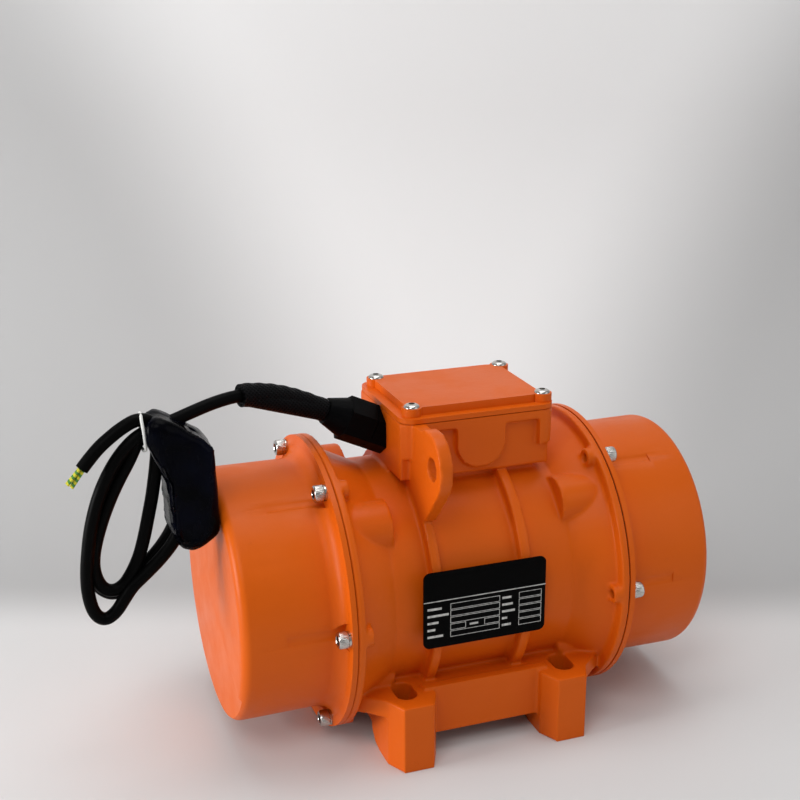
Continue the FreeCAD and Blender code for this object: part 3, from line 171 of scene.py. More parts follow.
class MotorFastenerSettings(bpy.types.PropertyGroup):
    """Sizes of the visible screws and washers."""
    bolt_circle: bpy.props.FloatProperty(
        name="Bolt circle", description="Radius on which the cover screws stand", default=0.086, unit="LENGTH")
    head_radius: bpy.props.FloatProperty(
        name="Head radius", description="Radius of a cover screw's head", default=0.005, unit="LENGTH")
    head_height: bpy.props.FloatProperty(
        name="Head height", description="Height of a cover screw's head", default=0.006, unit="LENGTH")
    shank_radius: bpy.props.FloatProperty(
        name="Shank radius", description="Radius of a cover screw's shank", default=0.003, unit="LENGTH")
    socket_radius: bpy.props.FloatProperty(
        name="Socket radius", description="Corner radius of the hexagon socket", default=0.0028, unit="LENGTH")
    knurls: bpy.props.IntProperty(
        name="Knurls", description="Knurls round a cover screw's head", default=36, min=6)
    washer_wire: bpy.props.FloatProperty(
        name="Washer width", description="Width of a spring washer's ring", default=0.0021, unit="LENGTH")


class MotorStudioSettings(bpy.types.PropertyGroup):
    """Camera, floor and lights."""
    camera_place: bpy.props.FloatVectorProperty(
        name="Camera place", description="Where the camera stands", default=(-0.30135, -0.76258, 0.46175),
        subtype="TRANSLATION")
    yaw: bpy.props.FloatProperty(
        name="Yaw", description="Turn of the view to the right, in degrees", default=20.59)
    pitch: bpy.props.FloatProperty(
        name="Pitch", description="Tilt of the view down, in degrees", default=19.13)
    lens: bpy.props.FloatProperty(
        name="Lens", description="Focal length in millimetres on a 36 mm sensor", default=61.78)
    shift: bpy.props.FloatVectorProperty(
        name="Shift", description="Shift of the lens", size=2, default=(-0.0268, 0.0453))
    floor_size: bpy.props.FloatProperty(
        name="Floor", description="Half the width of the floor", default=4.0, unit="LENGTH")
    wall_distance: bpy.props.FloatProperty(
        name="Wall", description="Where the floor starts to curve up behind the motor", default=0.16, unit="LENGTH")
    wall_curve: bpy.props.FloatProperty(
        name="Curve", description="Radius of the curve between floor and backdrop", default=0.33, unit="LENGTH")
    # The bright cone on the backdrop is painted light: a pool of light painted into the paper's colour, not cast by a
    # lamp.
    painted_light_side: bpy.props.FloatProperty(
        name="Glow place", description="Middle of the bright cone on the backdrop", default=0.02, unit="LENGTH")
    painted_light_width: bpy.props.FloatProperty(
        name="Glow width", description="Half the width of the bright cone at the floor", default=0.08, unit="LENGTH")
    floor_shade: bpy.props.FloatProperty(
        name="Floor shade", description="Lightness of the floor", default=0.68)
    wall_shade: bpy.props.FloatProperty(
        name="Wall shade", description="Lightness of the backdrop", default=0.46)
    # Lightness of the painted pool of light on the backdrop.
    painted_light_shade: bpy.props.FloatProperty(
        name="Glow shade", description="Lightness of the bright cone", default=0.78)


# ---------------------------------------------------------------- materials


class Value:
    """Output socket in a node tree that takes part in plain arithmetic."""

    def __init__(self, graph, socket):
        self.graph = graph
        self.socket = socket

    def __add__(self, other):
        return self.graph.maths("ADD", self, other)

    def __sub__(self, other):
        return self.graph.maths("SUBTRACT", self, other)

    def __rsub__(self, other):
        return self.graph.maths("SUBTRACT", other, self)

    def __mul__(self, other):
        return self.graph.maths("MULTIPLY", self, other)

    __radd__ = __add__

    def __gt__(self, other):
        return self.graph.maths("GREATER_THAN", self, other)

    def __lt__(self, other):
        return self.graph.maths("LESS_THAN", self, other)

    def absolute(self):
        """Value without its sign."""
        return self.graph.maths("ABSOLUTE", self)

    def sine(self):
        """Sine of the value."""
        return self.graph.maths("SINE", self)

    def most(self, other):
        """Larger of two values."""
        return self.graph.maths("MAXIMUM", self, other)

    def between(self, low, high, start=0.0, end=1.0):
        """Value carried smoothly from low..high to start..end."""
        return self.graph.node(
            "ShaderNodeMapRange", {"Value": self, "From Min": low, "From Max": high, "To Min": start, "To Max": end},
            interpolation_type="SMOOTHSTEP")


class Graph:
    """Node tree of one material with a principled surface."""

    def __init__(self, name):
        self.material = bpy.data.materials.new(name)
        self.material.use_nodes = True
        self.tree = self.material.node_tree
        self.surface = self.tree.nodes["Principled BSDF"]

    def node(self, kind, inputs=None, output=0, **settings):
        """Node with its settings and inputs; gives one of its outputs."""
        made = self.tree.nodes.new(kind)
        for key, value in settings.items():
            setattr(made, key, value)
        for key, value in (inputs or {}).items():
            self.feed(made.inputs[key], value)
        return Value(self, made.outputs[output])

    def feed(self, socket, value):
        """Link or set an input."""
        if isinstance(value, Value):
            self.tree.links.new(value.socket, socket)
        else:
            socket.default_value = value

    def maths(self, operation, *values):
        """Math node."""
        return self.node("ShaderNodeMath", dict(enumerate(values)), operation=operation)

    def place(self):
        """Object coordinates as one vector."""
        return self.node("ShaderNodeTexCoord", output="Object")

    def axes(self):
        """Object coordinates as three values."""
        split = self.node("ShaderNodeSeparateXYZ", {0: self.place()})
        outputs = split.socket.node.outputs
        return [Value(self, outputs[axis]) for axis in range(3)]

    def noise(self, scale, detail=3.0, roughness=0.5, stretch=(1, 1, 1)):
        """Noise over the surface; scale is in cells per metre."""
        vector = self.place()
        if tuple(stretch) != (1, 1, 1):
            vector = self.node("ShaderNodeVectorMath", {0: vector, 1: stretch}, operation="MULTIPLY")
        return self.node(
            "ShaderNodeTexNoise", {"Vector": vector, "Scale": scale, "Detail": detail, "Roughness": roughness})

    def blend(self, factor, first, second):
        """Colour between two colours."""
        return self.node("ShaderNodeMix", {0: factor, 6: first, 7: second}, output=2, data_type="RGBA")

    def finish(self, **inputs):
        """Set the surface's inputs; words in a name are joined with an underscore."""
        for key, value in inputs.items():
            self.feed(self.surface.inputs[key.replace("_", " ")], value)
        return self.material

    def bump(self, height, distance, strength=1.0):
        """Normal raised by a height."""
        return self.node("ShaderNodeBump", {"Height": height, "Distance": distance, "Strength": strength})


def colour(red, green, blue):
    """Opaque colour."""
    return (red, green, blue, 1.0)


def orange_paint():
    """Semi-gloss enamel on a casting, with orange peel and a few thin places."""
    graph = Graph("orange_paint")
    cloud = graph.noise(14, 2)
    base = graph.blend(cloud, colour(0.64, 0.100, 0.0025), colour(0.72, 0.120, 0.004))
    thin = graph.noise(160, 4, 0.65).between(0.62, 0.80)
    base = graph.blend(thin * 0.25, base, colour(0.52, 0.075, 0.002))
    peel = graph.noise(900, 2) * 0.6 + graph.noise(260, 3) * 1.4
    return graph.finish(
        Base_Color=base, Roughness=graph.noise(45, 3).between(0.3, 0.7, 0.34, 0.46), Specular_IOR_Level=0.16,
        Normal=graph.bump(peel, 0.00012, 0.5))


def bright_zinc():
    """Bright plated steel of the visible screws."""
    graph = Graph("bright_zinc")
    tint = graph.blend(graph.noise(220, 3), colour(0.62, 0.60, 0.57), colour(0.50, 0.485, 0.46))
    return graph.finish(
        Base_Color=tint, Metallic=1.0, Roughness=graph.noise(300, 3).between(0.2, 0.8, 0.16, 0.26),
        Normal=graph.bump(graph.noise(900, 2), 0.00002, 0.3))


def rubber(name, shade, low, high, scale=700):
    """Black rubber with a fine grain."""
    graph = Graph(name)
    dark = colour(shade, shade, shade * 1.05)
    pale = colour(shade * 2, shade * 2, shade * 2)
    tone = graph.blend(graph.noise(90, 3), dark, pale)
    return graph.finish(
        Base_Color=tone, Roughness=graph.noise(60, 3).between(0.2, 0.8, low, high), Specular_IOR_Level=0.04,
        Normal=graph.bump(graph.noise(scale, 3), 0.00015, 0.5))


def braided_sleeve():
    """Black woven sleeve: two sets of threads that cross; the colour is lighter on the crests of the threads and
    darker in the dips between them, which is painted shade.
    """
    graph = Graph("braided_sleeve")
    x, y, z = graph.axes()
    first = (x * 2600 + z * 2600 + y * 900).sine()
    second = (x * 2600 - z * 2600 - y * 900).sine()
    weave = first.most(second)
    # Painted shade: darker in the dips between the threads, lighter on their crests, on top of the woven pattern.
    tone = graph.blend(weave.between(-0.2, 1.0), colour(0.0008, 0.0008, 0.0008), colour(0.005, 0.005, 0.006))
    return graph.finish(
        Base_Color=tone, Roughness=0.5, Specular_IOR_Level=0.05, Normal=graph.bump(weave, 0.0003, 0.6))


def dark_film():
    """Glossy dark film wrapped round the hank."""
    graph = Graph("dark_film")
    crease = graph.noise(70, 5, 0.6, (1.0, 1.0, 0.35))
    cloud = graph.noise(35, 2).between(0.35, 0.7)
    tone = graph.blend(cloud, colour(0.0004, 0.0004, 0.0006), colour(0.001, 0.0015, 0.006))
    return graph.finish(
        Base_Color=tone, Roughness=crease.between(0.3, 0.7, 0.12, 0.30), Specular_IOR_Level=0.04,
        Normal=graph.bump(crease, 0.0015, 0.6))


def moulded_plastic(name, shade):
    """Fine-grained moulded plastic."""
    graph = Graph(name)
    tone = graph.blend(graph.noise(60, 2), colour(*shade), colour(*(part * 1.4 for part in shade)))
    return graph.finish(
        Base_Color=tone, Roughness=graph.noise(300, 3).between(0.2, 0.8, 0.38, 0.52), Specular_IOR_Level=0.04,
        Normal=graph.bump(graph.noise(1800, 2), 0.00005, 0.5))


def worked_metal(name, shade, low, high, scale, stretch=(1, 1, 1)):
    """Bare metal with marks of its making."""
    graph = Graph(name)
    marks = graph.noise(scale, 4, 0.6, stretch)
    tone = graph.blend(marks, colour(*shade), colour(*(part * 0.72 for part in shade)))
    return graph.finish(
        Base_Color=tone, Metallic=1.0, Roughness=marks.between(0.2, 0.8, low, high),
        Normal=graph.bump(marks, 0.00008, 0.5))


def wound_copper():
    """Enamelled copper wire in bundles, with painted shade: darker in the grooves between the turns and lighter on
    their crests.
    """
    graph = Graph("wound_copper")
    _, y, z = graph.axes()
    threads = ((y * y + z * z) * 90000).sine()
    # Painted shade: the grooves between the turns are darker and the crests brighter.
    tone = graph.blend(threads.between(-1, 1), colour(0.30, 0.10, 0.04), colour(0.62, 0.26, 0.11))
    return graph.finish(Base_Color=tone, Metallic=0.6, Roughness=0.35, Normal=graph.bump(threads, 0.0003, 0.6))


def core_insulation():
    """Insulation of the bared cores: yellow and green stripes on every core."""
    graph = Graph("core_insulation")
    x, _, z = graph.axes()
    stripe = (x * 1400 + z * 1400).sine()
    tone = graph.blend(stripe > 0, colour(0.60, 0.55, 0.02), colour(0.06, 0.22, 0.03))
    return graph.finish(Base_Color=tone, Roughness=0.4)


class Print:
    """White print on the plate, laid out from its top left corner in millimetres."""

    def __init__(self, graph):
        low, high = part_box("nameplate")
        x, y, z = graph.axes()
        self.across = (x - low.x) * 1000
        self.down = (high.z - z) * 1000

    def bar(self, left, top, right, bottom):
        """One inside a rectangle and nothing outside it."""
        inside = (self.across > left) * (self.across < right)
        return inside * (self.down > top) * (self.down < bottom)

    def frame(self, left, top, right, bottom, line=0.35):
        """Outline of a rectangle."""
        outer = self.bar(left, top, right, bottom)
        return outer - self.bar(left + line, top + line, right - line, bottom - line)


def printed_plate():
    """Black plate with a white rule, two columns of label bars and two blocks of blank fields."""
    graph = Graph("printed_plate")
    ink = Print(graph)
    rows = 5
    pitch = 4.5
    top = 21.3
    marks = ink.bar(0, 18.3, 79, 18.9)
    lengths = ((9, 13.5, 7, 5, 10), (6, 7, 8.5, 3.5, 6))
    for left, widths in zip((2.4, 50.5), lengths):
        for row in range(rows):
            start = top + row * pitch + 1.4
            marks = marks.most(ink.bar(left, start, left + widths[row], start + 1.5))
    for row in range(rows):
        start = top + row * pitch
        marks = marks.most(ink.frame(17, start, 49 if row != 3 else 27, start + pitch - 0.5))
        marks = marks.most(ink.frame(61.5, start, 76.5, start + pitch - 0.5))
    split = top + 3 * pitch
    marks = marks.most(ink.bar(29.5, split + 1.4, 35, split + 2.7))
    marks = marks.most(ink.frame(39, split, 49, split + pitch - 0.5))
    wear = graph.noise(400, 3).between(0.25, 0.6)
    tone = graph.blend(marks * (0.55 + wear * 0.45), colour(0.0007, 0.0007, 0.0007), colour(0.62, 0.62, 0.60))
    return graph.finish(
        Base_Color=tone, Roughness=graph.noise(80, 3).between(0.2, 0.8, 0.30, 0.42), Specular_IOR_Level=0.04,
        Normal=graph.bump(graph.noise(600, 2), 0.00003, 0.4))


def floor_with_painted_light(settings):
    """Matt studio paper: an even floor, and behind it a grey backdrop with a painted pool of light, a bright cone
    painted into its colour as if a lamp shone on it from above.
    """
    graph = Graph("floor_with_painted_light")
    x, y, height = graph.axes()
    yaw = math.radians(settings.yaw)
    back = x * math.sin(yaw) + y * math.cos(yaw)
    side = x * math.cos(yaw) - y * math.sin(yaw) - settings.painted_light_side
    # Painted light: the backdrop is painted brighter in a cone that widens upwards, standing in for a lamp's pool of
    # light from above.
    reach = side.absolute() - height * 0.6
    painted_light_cone = reach.between(settings.painted_light_width * 2.6, -settings.painted_light_width * 0.6)
    wall = graph.blend(painted_light_cone, colour(*[settings.wall_shade] * 3), colour(*[settings.painted_light_shade] * 3))
    tone = graph.blend(back.between(0.075, 0.16), colour(*[settings.floor_shade] * 3), wall)
    return graph.finish(Base_Color=tone, Roughness=0.9, Specular_IOR_Level=0.1)


MATERIALS = {
    "orange_paint": orange_paint,
    "cable_rubber": lambda: rubber("cable_rubber", 0.0009, 0.34, 0.5),
    "sleeve": braided_sleeve,
    "dark_film": dark_film,
    "white_tie": lambda: moulded_plastic("white_tie", (0.62, 0.62, 0.60)),
    "core_insulation": core_insulation,
    "gland_plastic": lambda: moulded_plastic("gland_plastic", (0.0008, 0.0008, 0.001)),
    "seal_rubber": lambda: rubber("seal_rubber", 0.012, 0.6, 0.8, 1200),
    "plate_print": printed_plate,
    "block_plastic": lambda: moulded_plastic("block_plastic", (0.03, 0.028, 0.026)),
    "terminal_brass": lambda: worked_metal("terminal_brass", (0.78, 0.58, 0.28), 0.22, 0.4, 600),
    "copper_wire": wound_copper,
    "cast_aluminium": lambda: worked_metal("cast_aluminium", (0.72, 0.73, 0.75), 0.4, 0.6, 350),
    "lamination_steel": lambda: worked_metal("lamination_steel", (0.34, 0.34, 0.36), 0.35, 0.55, 260, (12, 1, 1)),
    "weight_steel": lambda: worked_metal("weight_steel", (0.42, 0.42, 0.43), 0.35, 0.55, 300, (6, 1, 1)),
    "cast_iron": lambda: worked_metal("cast_iron", (0.25, 0.25, 0.26), 0.5, 0.75, 500),
    "ground_steel": lambda: worked_metal("ground_steel", (0.66, 0.66, 0.68), 0.14, 0.28, 400, (1, 8, 8)),
    "cage_brass": lambda: worked_metal("cage_brass", (0.74, 0.55, 0.26), 0.25, 0.4, 420),
    "bright_fasteners": bright_zinc,
}
made_materials = {}


def material(name):
    """Material of that name, made once."""
    if name not in made_materials:
        made_materials[name] = MATERIALS[name]()
    return made_materials[name]


# ---------------------------------------------------------------- mesh helpers


def new_piece(name, form, material_name, body=ROOT, replaces=()):
    """Object from a bmesh, riding on a body."""
    mesh = bpy.data.meshes.new(name)
    form.to_mesh(mesh)
    form.free()
    return dress(bpy.data.objects.new(name, mesh), material_name, body, replaces)


def dress(piece, material_name, body=ROOT, replaces=()):
    """Put a piece in the scene with its material, body and CAD nodes."""
    if piece.name not in bpy.context.scene.collection.objects:
        bpy.context.scene.collection.objects.link(piece)
    piece.data.materials.clear()
    piece.data.materials.append(material(material_name))
    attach(piece, body)
    if replaces:
        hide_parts(*replaces)
    return piece


def shade(piece, angle=40):
    """Smooth shading broken at sharp edges."""
    for face in piece.data.polygons:
        face.use_smooth = True
    piece.data.set_sharp_from_angle(angle=math.radians(angle))


def node_form(node):
    """Clean bmesh of a CAD node."""
    form = bmesh.new()
    form.from_mesh(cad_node(node).data)
    bmesh.ops.remove_doubles(form, verts=form.verts, dist=1e-6)
    return form


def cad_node(node):
    """Object of a CAD node."""
    return frame_nodes[node]


def bake_modifiers(piece):
    """Apply all modifiers of a piece."""
    bpy.context.view_layer.update()
    graph = bpy.context.evaluated_depsgraph_get()
    mesh = bpy.data.meshes.new_from_object(piece.evaluated_get(graph))
    piece.modifiers.clear()
    piece.data = mesh


def softened(name, node, slot_name, edge, body=ROOT):
    """Copy of a CAD node with rounded edges, which stands for the node."""
    form = node_form(node)
    bmesh.ops.dissolve_limit(
        form, angle_limit=math.radians(1.5), verts=form.verts, edges=form.edges, use_dissolve_boundaries=False)
    mesh = bpy.data.meshes.new(name)
    form.to_mesh(mesh)
    form.free()
    piece = bpy.data.objects.new(name, mesh)
    bpy.context.scene.collection.objects.link(piece)
    shade(piece, 35)
    bevel = piece.modifiers.new("edges", "BEVEL")
    bevel.width = edge
    bevel.segments = 3
    bevel.limit_method = "ANGLE"
    bevel.angle_limit = math.radians(35)
    bevel.harden_normals = True
    bake_modifiers(piece)
    dress(piece, slot_name, body, (node,))
    return piece


def casting(name, node, slot_name, settings):
    """Copy of a CAD node with the soft fillets of a casting, which stands for the node."""
    form = node_form(node)
    mesh = bpy.data.meshes.new(name)
    form.to_mesh(mesh)
    form.free()
    piece = bpy.data.objects.new(name, mesh)
    bpy.context.scene.collection.objects.link(piece)
    remesh = piece.modifiers.new("cells", "REMESH")
    remesh.mode = "VOXEL"
    remesh.voxel_size = settings.cell
    smooth = piece.modifiers.new("fillets", "SMOOTH")
    smooth.factor = 0.5
    smooth.iterations = settings.smoothing
    bake_modifiers(piece)
    share = settings.faces / (2 * len(piece.data.polygons))
    if share < 1:
        thin = piece.modifiers.new("fewer", "DECIMATE")
        thin.ratio = share
        bake_modifiers(piece)
    dress(piece, slot_name, ROOT, (node,))
    shade(piece, 50)
    return piece


def ring_of(form, centre, first, second, radius, count):
    """Ring of vertices round a centre."""
    made = []
    for index in range(count):
        angle = 2 * math.pi * index / count
        made.append(form.verts.new(centre + first * (radius * math.cos(angle)) + second * (radius * math.sin(angle))))
    return made


def bridge(form, first, second):
    """Faces between two rings of the same count."""
    count = len(first)
    for index in range(count):
        following = (index + 1) % count
        form.faces.new((first[index], first[following], second[following], second[index]))


def tube_form(points, radii, count=24, closed_ends=True):
    """Bmesh of a tube that follows points with a radius at each."""
    form = bmesh.new()
    rings = []
    normal = Vector((0, 1, 0))
    for index, point in enumerate(points):
        before = points[max(index - 1, 0)]
        after = points[min(index + 1, len(points) - 1)]
        along = (after - before).normalized()
        normal = (normal - along * normal.dot(along)).normalized()
        other = along.cross(normal)
        rings.append(ring_of(form, point, normal, other, radii[index], count))
    for first, second in zip(rings, rings[1:]):
        bridge(form, first, second)
    if closed_ends:
        form.faces.new(list(reversed(rings[0])))
        form.faces.new(rings[-1])
    bmesh.ops.recalc_face_normals(form, faces=form.faces)
    return form


def revolve(form, profile, place, along, steps, knurl=None):
    """Surface of revolution about a line; the profile holds (distance along, radius)."""
    first = along.orthogonal().normalized()
    second = along.cross(first)
    rings = []
    for distance, radius in profile:
        centre = place + along * distance
        if radius < 1e-6:
            rings.append(form.verts.new(centre))
            continue
        ring = []
        for index in range(steps):
            angle = 2 * math.pi * index / steps
            reach = radius + (knurl(distance, radius, index) if knurl else 0.0)
            point = centre + first * (reach * math.cos(angle)) + second * (reach * math.sin(angle))
            ring.append(form.verts.new(point))
        rings.append(ring)
    for low, high in zip(rings, rings[1:]):
        if isinstance(low, list) and isinstance(high, list):
            bridge(form, low, high)
            continue
        tip, ring = (low, high) if not isinstance(low, list) else (high, low)
        for index in range(steps):
            form.faces.new((tip, ring[index], ring[(index + 1) % steps]))


# ---------------------------------------------------------------- cable


def hank_points():
    """Points of the loose turns, one turn after the other, from the tie and back to it."""
    return [Vector((x, depth, z)) for depth, turn in HANK_TURNS for x, z in turn]


def cable_points():
    """All control points of the cable in metres."""
    route = [Vector(point) for point in CABLE_ROUTE] + hank_points() + [Vector(point) for point in TAIL_ROUTE]
    return [place_of(point) for point in route]


def spline_of(name, points, radius):
    """Curve of one open smooth spline through control points."""
    curve = bpy.data.curves.new(name, "CURVE")
    curve.dimensions = "3D"
    spline = curve.splines.new("NURBS")
    spline.points.add(len(points) - 1)
    for target, point in zip(spline.points, points):
        target.co = (*point, 1.0)
    spline.order_u = 3
    spline.use_endpoint_u = True
    spline.resolution_u = 10
    curve.bevel_depth = radius
    curve.bevel_resolution = 6
    curve.use_fill_caps = True
    return bpy.data.objects.new(name, curve)


def centreline(points):
    """Points along the smooth line of the cable, closely spaced."""
    probe = spline_of("probe", points, 0.0)
    bpy.context.scene.collection.objects.link(probe)
    bpy.context.view_layer.update()
    mesh = bpy.data.meshes.new_from_object(probe.evaluated_get(bpy.context.evaluated_depsgraph_get()))
    line = [vertex.co.copy() for vertex in mesh.vertices]
    bpy.data.objects.remove(probe)
    bpy.data.meshes.remove(mesh)
    return line


def sleeve_piece(line, settings):
    """Braided sleeve over the first part of the cable, with a frayed rim at its open end."""
    low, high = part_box("cable_sleeve")
    covered = [point for point in line[:len(line) // 3] if low.x + 0.003 < point.x < high.x]
    rim = settings.sleeve_radius
    radii = [rim * (1 + 0.025 * math.sin(index * 0.9)) for index in range(len(covered))]
    radii[0] = rim * 0.93
    inner = [rim - settings.sleeve_wall] * len(covered)
    form = bmesh.new()
    outside = tube_form(covered, radii, 40, False)
    inside = tube_form(list(reversed(covered)), inner, 40, False)
    for part in (outside, inside):
        mesh = bpy.data.meshes.new("part")
        part.to_mesh(mesh)
        part.free()
        form.from_mesh(mesh)
        bpy.data.meshes.remove(mesh)
    bmesh.ops.bridge_loops(form, edges=[edge for edge in form.edges if edge.is_boundary])
    piece = new_piece("cable_braid", form, "sleeve", ROOT, ("cable_sleeve",))
    shade(piece, 60)
    return piece


def wrap_piece(settings):
    """Dark film round one side of the hank, drawn in here and there."""
    form = node_form("hank_wrap")
    mesh = bpy.data.meshes.new("hank_film")
    form.to_mesh(mesh)
    form.free()
    piece = bpy.data.objects.new("hank_film", mesh)
    bpy.context.scene.collection.objects.link(piece)
    remesh = piece.modifiers.new("cells", "REMESH")
    remesh.mode = "VOXEL"
    remesh.voxel_size = FILM_CELL
    smooth = piece.modifiers.new("soft", "SMOOTH")
    smooth.factor = 0.5
    smooth.iterations = FILM_SMOOTHING
    bake_modifiers(piece)
    axis = axis_height()
    for vertex in piece.data.vertices:
        height = vertex.co.z - axis
        outward = min(max((FILM_EDGE_START - vertex.co.x) / FILM_EDGE_WIDTH, 0.0), 1.0)
        below_neck = min(max((FILM_NECK - height) / FILM_NECK_DEPTH, 0.0), 1.0)
        vertex.co.x += FILM_EDGE_SHIFT * outward * below_neck
        vertex.co.z += FILM_FOOT_LIFT * max(FILM_FOOT - height, 0.0)
        fold = noise.fractal(Vector((vertex.co.x * 60, vertex.co.y * 60, vertex.co.z * 22)), 0.8, 2.0, 3)
        vertex.co -= vertex.normal * (settings.wrinkle * (0.5 + 0.5 * math.tanh(2 * fold)))
    dress(piece, "dark_film", ROOT, ("hank_wrap",))
    shade(piece, 60)
    return piece


def tie_piece():
    """Thin white tie drawn round the neck of the hank."""
    low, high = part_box("hank_tie")
    middle = (low + high) / 2 + Vector(TIE_SHIFT)
    half_y = (high.y - low.y) / 2 - 0.001
    half_z = ((high.z - low.z) / 2 - 0.001) * TIE_SQUEEZE
    loop = []
    steps = 48
    for index in range(steps):
        angle = 2 * math.pi * index / steps
        y = half_y * math.copysign(abs(math.cos(angle)) ** 0.7, math.cos(angle))
        z = half_z * math.copysign(abs(math.sin(angle)) ** 0.7, math.sin(angle))
        loop.append(Vector((middle.x + 0.0006 * math.sin(2 * angle), middle.y + y, middle.z + z)))
    form = tube_form(loop + loop[:1], [TIE_BAND_RADIUS] * (steps + 1), 10, False)
    piece = new_piece("tie_band", form, "white_tie", ROOT, ("hank_tie",))
    shade(piece, 60)
    return piece


def core_pieces(settings):
    """Bared cores that splay a little from the cut end of the cable."""
    end = place_of(TAIL_ROUTE[-1])
    along = (end - place_of(TAIL_ROUTE[-2])).normalized()
    across = along.cross(Vector((0, 1, 0))).normalized()
    other = along.cross(across)
    form = bmesh.new()
    for index in range(4):
        angle = math.radians(45 + 90 * index)
        out = across * math.cos(angle) + other * math.sin(angle)
        start = end + out * 0.0015 - along * 0.002
        points = [start + along * (0.0135 * step / 8) + out * (0.0006 * (step / 8) ** 2) for step in range(9)]
        part = tube_form(points, [settings.core_radius] * 9, 12)
        mesh = bpy.data.meshes.new("part")
        part.to_mesh(mesh)
        part.free()
        form.from_mesh(mesh)
        bpy.data.meshes.remove(mesh)
    piece = new_piece("bared_cores", form, "core_insulation", ROOT, ("cable_cores",))
    shade(piece, 60)
    return piece


class MOTOR_OT_cable(bpy.types.Operator):
    """Lay the cable with its sleeve, loose turns, film, tie and bared cores"""
    bl_idname = "motor.cable"
    bl_label = "Cable"

    def execute(self, context):
        settings = context.scene.motor_cable
        points = cable_points()
        line = centreline(points)
        cable = spline_of("cable", points, settings.diameter / 2)
        dress(cable, "cable_rubber", ROOT, ("power_cable", "cable_tail", "cable_hank"))
        extras = [sleeve_piece(line, settings), wrap_piece(settings), tie_piece(), core_pieces(settings)]
        return {"FINISHED"}


# ---------------------------------------------------------------- castings


class MOTOR_OT_castings(bpy.types.Operator):
    """Give the painted castings their cast fillets"""
    bl_idname = "motor.castings"
    bl_label = "Castings"

    def execute(self, context):
        settings = context.scene.motor_castings
        casting("housing_casting", "motor_housing", "orange_paint", settings)
        for word, _ in SIDES:
            softened(f"{word}_cover_casting", f"{word}_weight_cover", "orange_paint", settings.edge * 1.6)
        softened("lid_casting", "terminal_box_lid", "orange_paint", settings.edge * 2)
        return {"FINISHED"}


# ---------------------------------------------------------------- fasteners


def socket_head(form, place, along, settings):
    """Knurled cap head with a hexagon socket, standing on place; along points out of the head."""
    height = settings.head_height
    radius = settings.head_radius
    steps = settings.knurls * 4
    chamfer = height * 0.12
    profile = [
        (-0.010, settings.shank_radius * 0.8), (-0.009, settings.shank_radius), (0, settings.shank_radius),
        (0, radius * 0.93), (chamfer * 0.5, radius), (height - chamfer * 1.6, radius),
        (height - chamfer, radius * 0.97), (height - chamfer * 0.3, radius * 0.90), (height, radius * 0.82),
        (height, settings.socket_radius * 1.12), (height - chamfer * 0.4, settings.socket_radius),
    ]

    def knurl(distance, reach, index):
        """Small grooves round the side of the head."""
        if reach < radius * 0.99 or distance <= 0:
            return 0.0
        return -radius * 0.03 * (1 if index % 4 in (0, 1) else 0)

    revolve(form, profile, place, along, steps, knurl)
    first = along.orthogonal().normalized()
    second = along.cross(first)
    top = ring_of(form, place + along * (height - chamfer * 0.4), first, second, settings.socket_radius, 6)
    low = ring_of(form, place + along * (height * 0.42), first, second, settings.socket_radius, 6)
    bridge(form, top, low)
    form.faces.new(low)
    return form


def screw_places(word, side, settings):
    """Where the heads of one cover's screws stand."""
    low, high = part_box(f"{word}_cover_washers")
    face = high.x if side > 0 else low.x
    height = axis_height()
    for angle in BOLT_ANGLES:
        turn = math.radians(angle)
        yield Vector((face, -settings.bolt_circle * math.sin(turn), height + settings.bolt_circle * math.cos(turn)))


def spring_washer(form, place, along, thick, settings, turn):
    """Split ring with a small step at its gap."""
    first = along.orthogonal().normalized()
    second = along.cross(first)
    outer = settings.head_radius * 0.99
    inner = outer - settings.washer_wire
    steps = 40
    gap = math.radians(9)
    rings = []
    for index in range(steps + 1):
        angle = turn + gap / 2 + (2 * math.pi - gap) * index / steps
        out = first * math.cos(angle) + second * math.sin(angle)
        lift = along * (thick * 0.1 * (index / steps - 0.5))
        low = place - along * thick * 0.95 + lift
        high = place - along * thick * 0.05 + lift
        corners = [low + out * inner, low + out * outer, high + out * outer, high + out * inner]
        rings.append([form.verts.new(corner) for corner in corners])
    for one, two in zip(rings, rings[1:]):
        bridge(form, one, two)
    form.faces.new(list(reversed(rings[0])))
    form.faces.new(rings[-1])


def domed_screw(form, place, radius, height, socket):
    """Button head with a hexagon socket, on a short shank."""
    up = Vector((0, 0, 1))
    profile = [(-0.004, radius * 0.5), (0, radius * 0.5), (0, radius), (height * 0.14, radius)]
    for step in range(1, 9):
        angle = math.radians(10 + 8.5 * step)
        profile.append((height * math.sin(angle), radius * (0.32 + 0.68 * math.cos(angle))))
    profile.append((height, socket * 1.05))
    revolve(form, profile, place, up, 48)
    first = up.orthogonal().normalized()
    second = up.cross(first)
    top = ring_of(form, place + up * height, first, second, socket * 1.05, 6)
    low = ring_of(form, place + up * height * 0.35, first, second, socket, 6)
    bridge(form, top, low)
    form.faces.new(low)


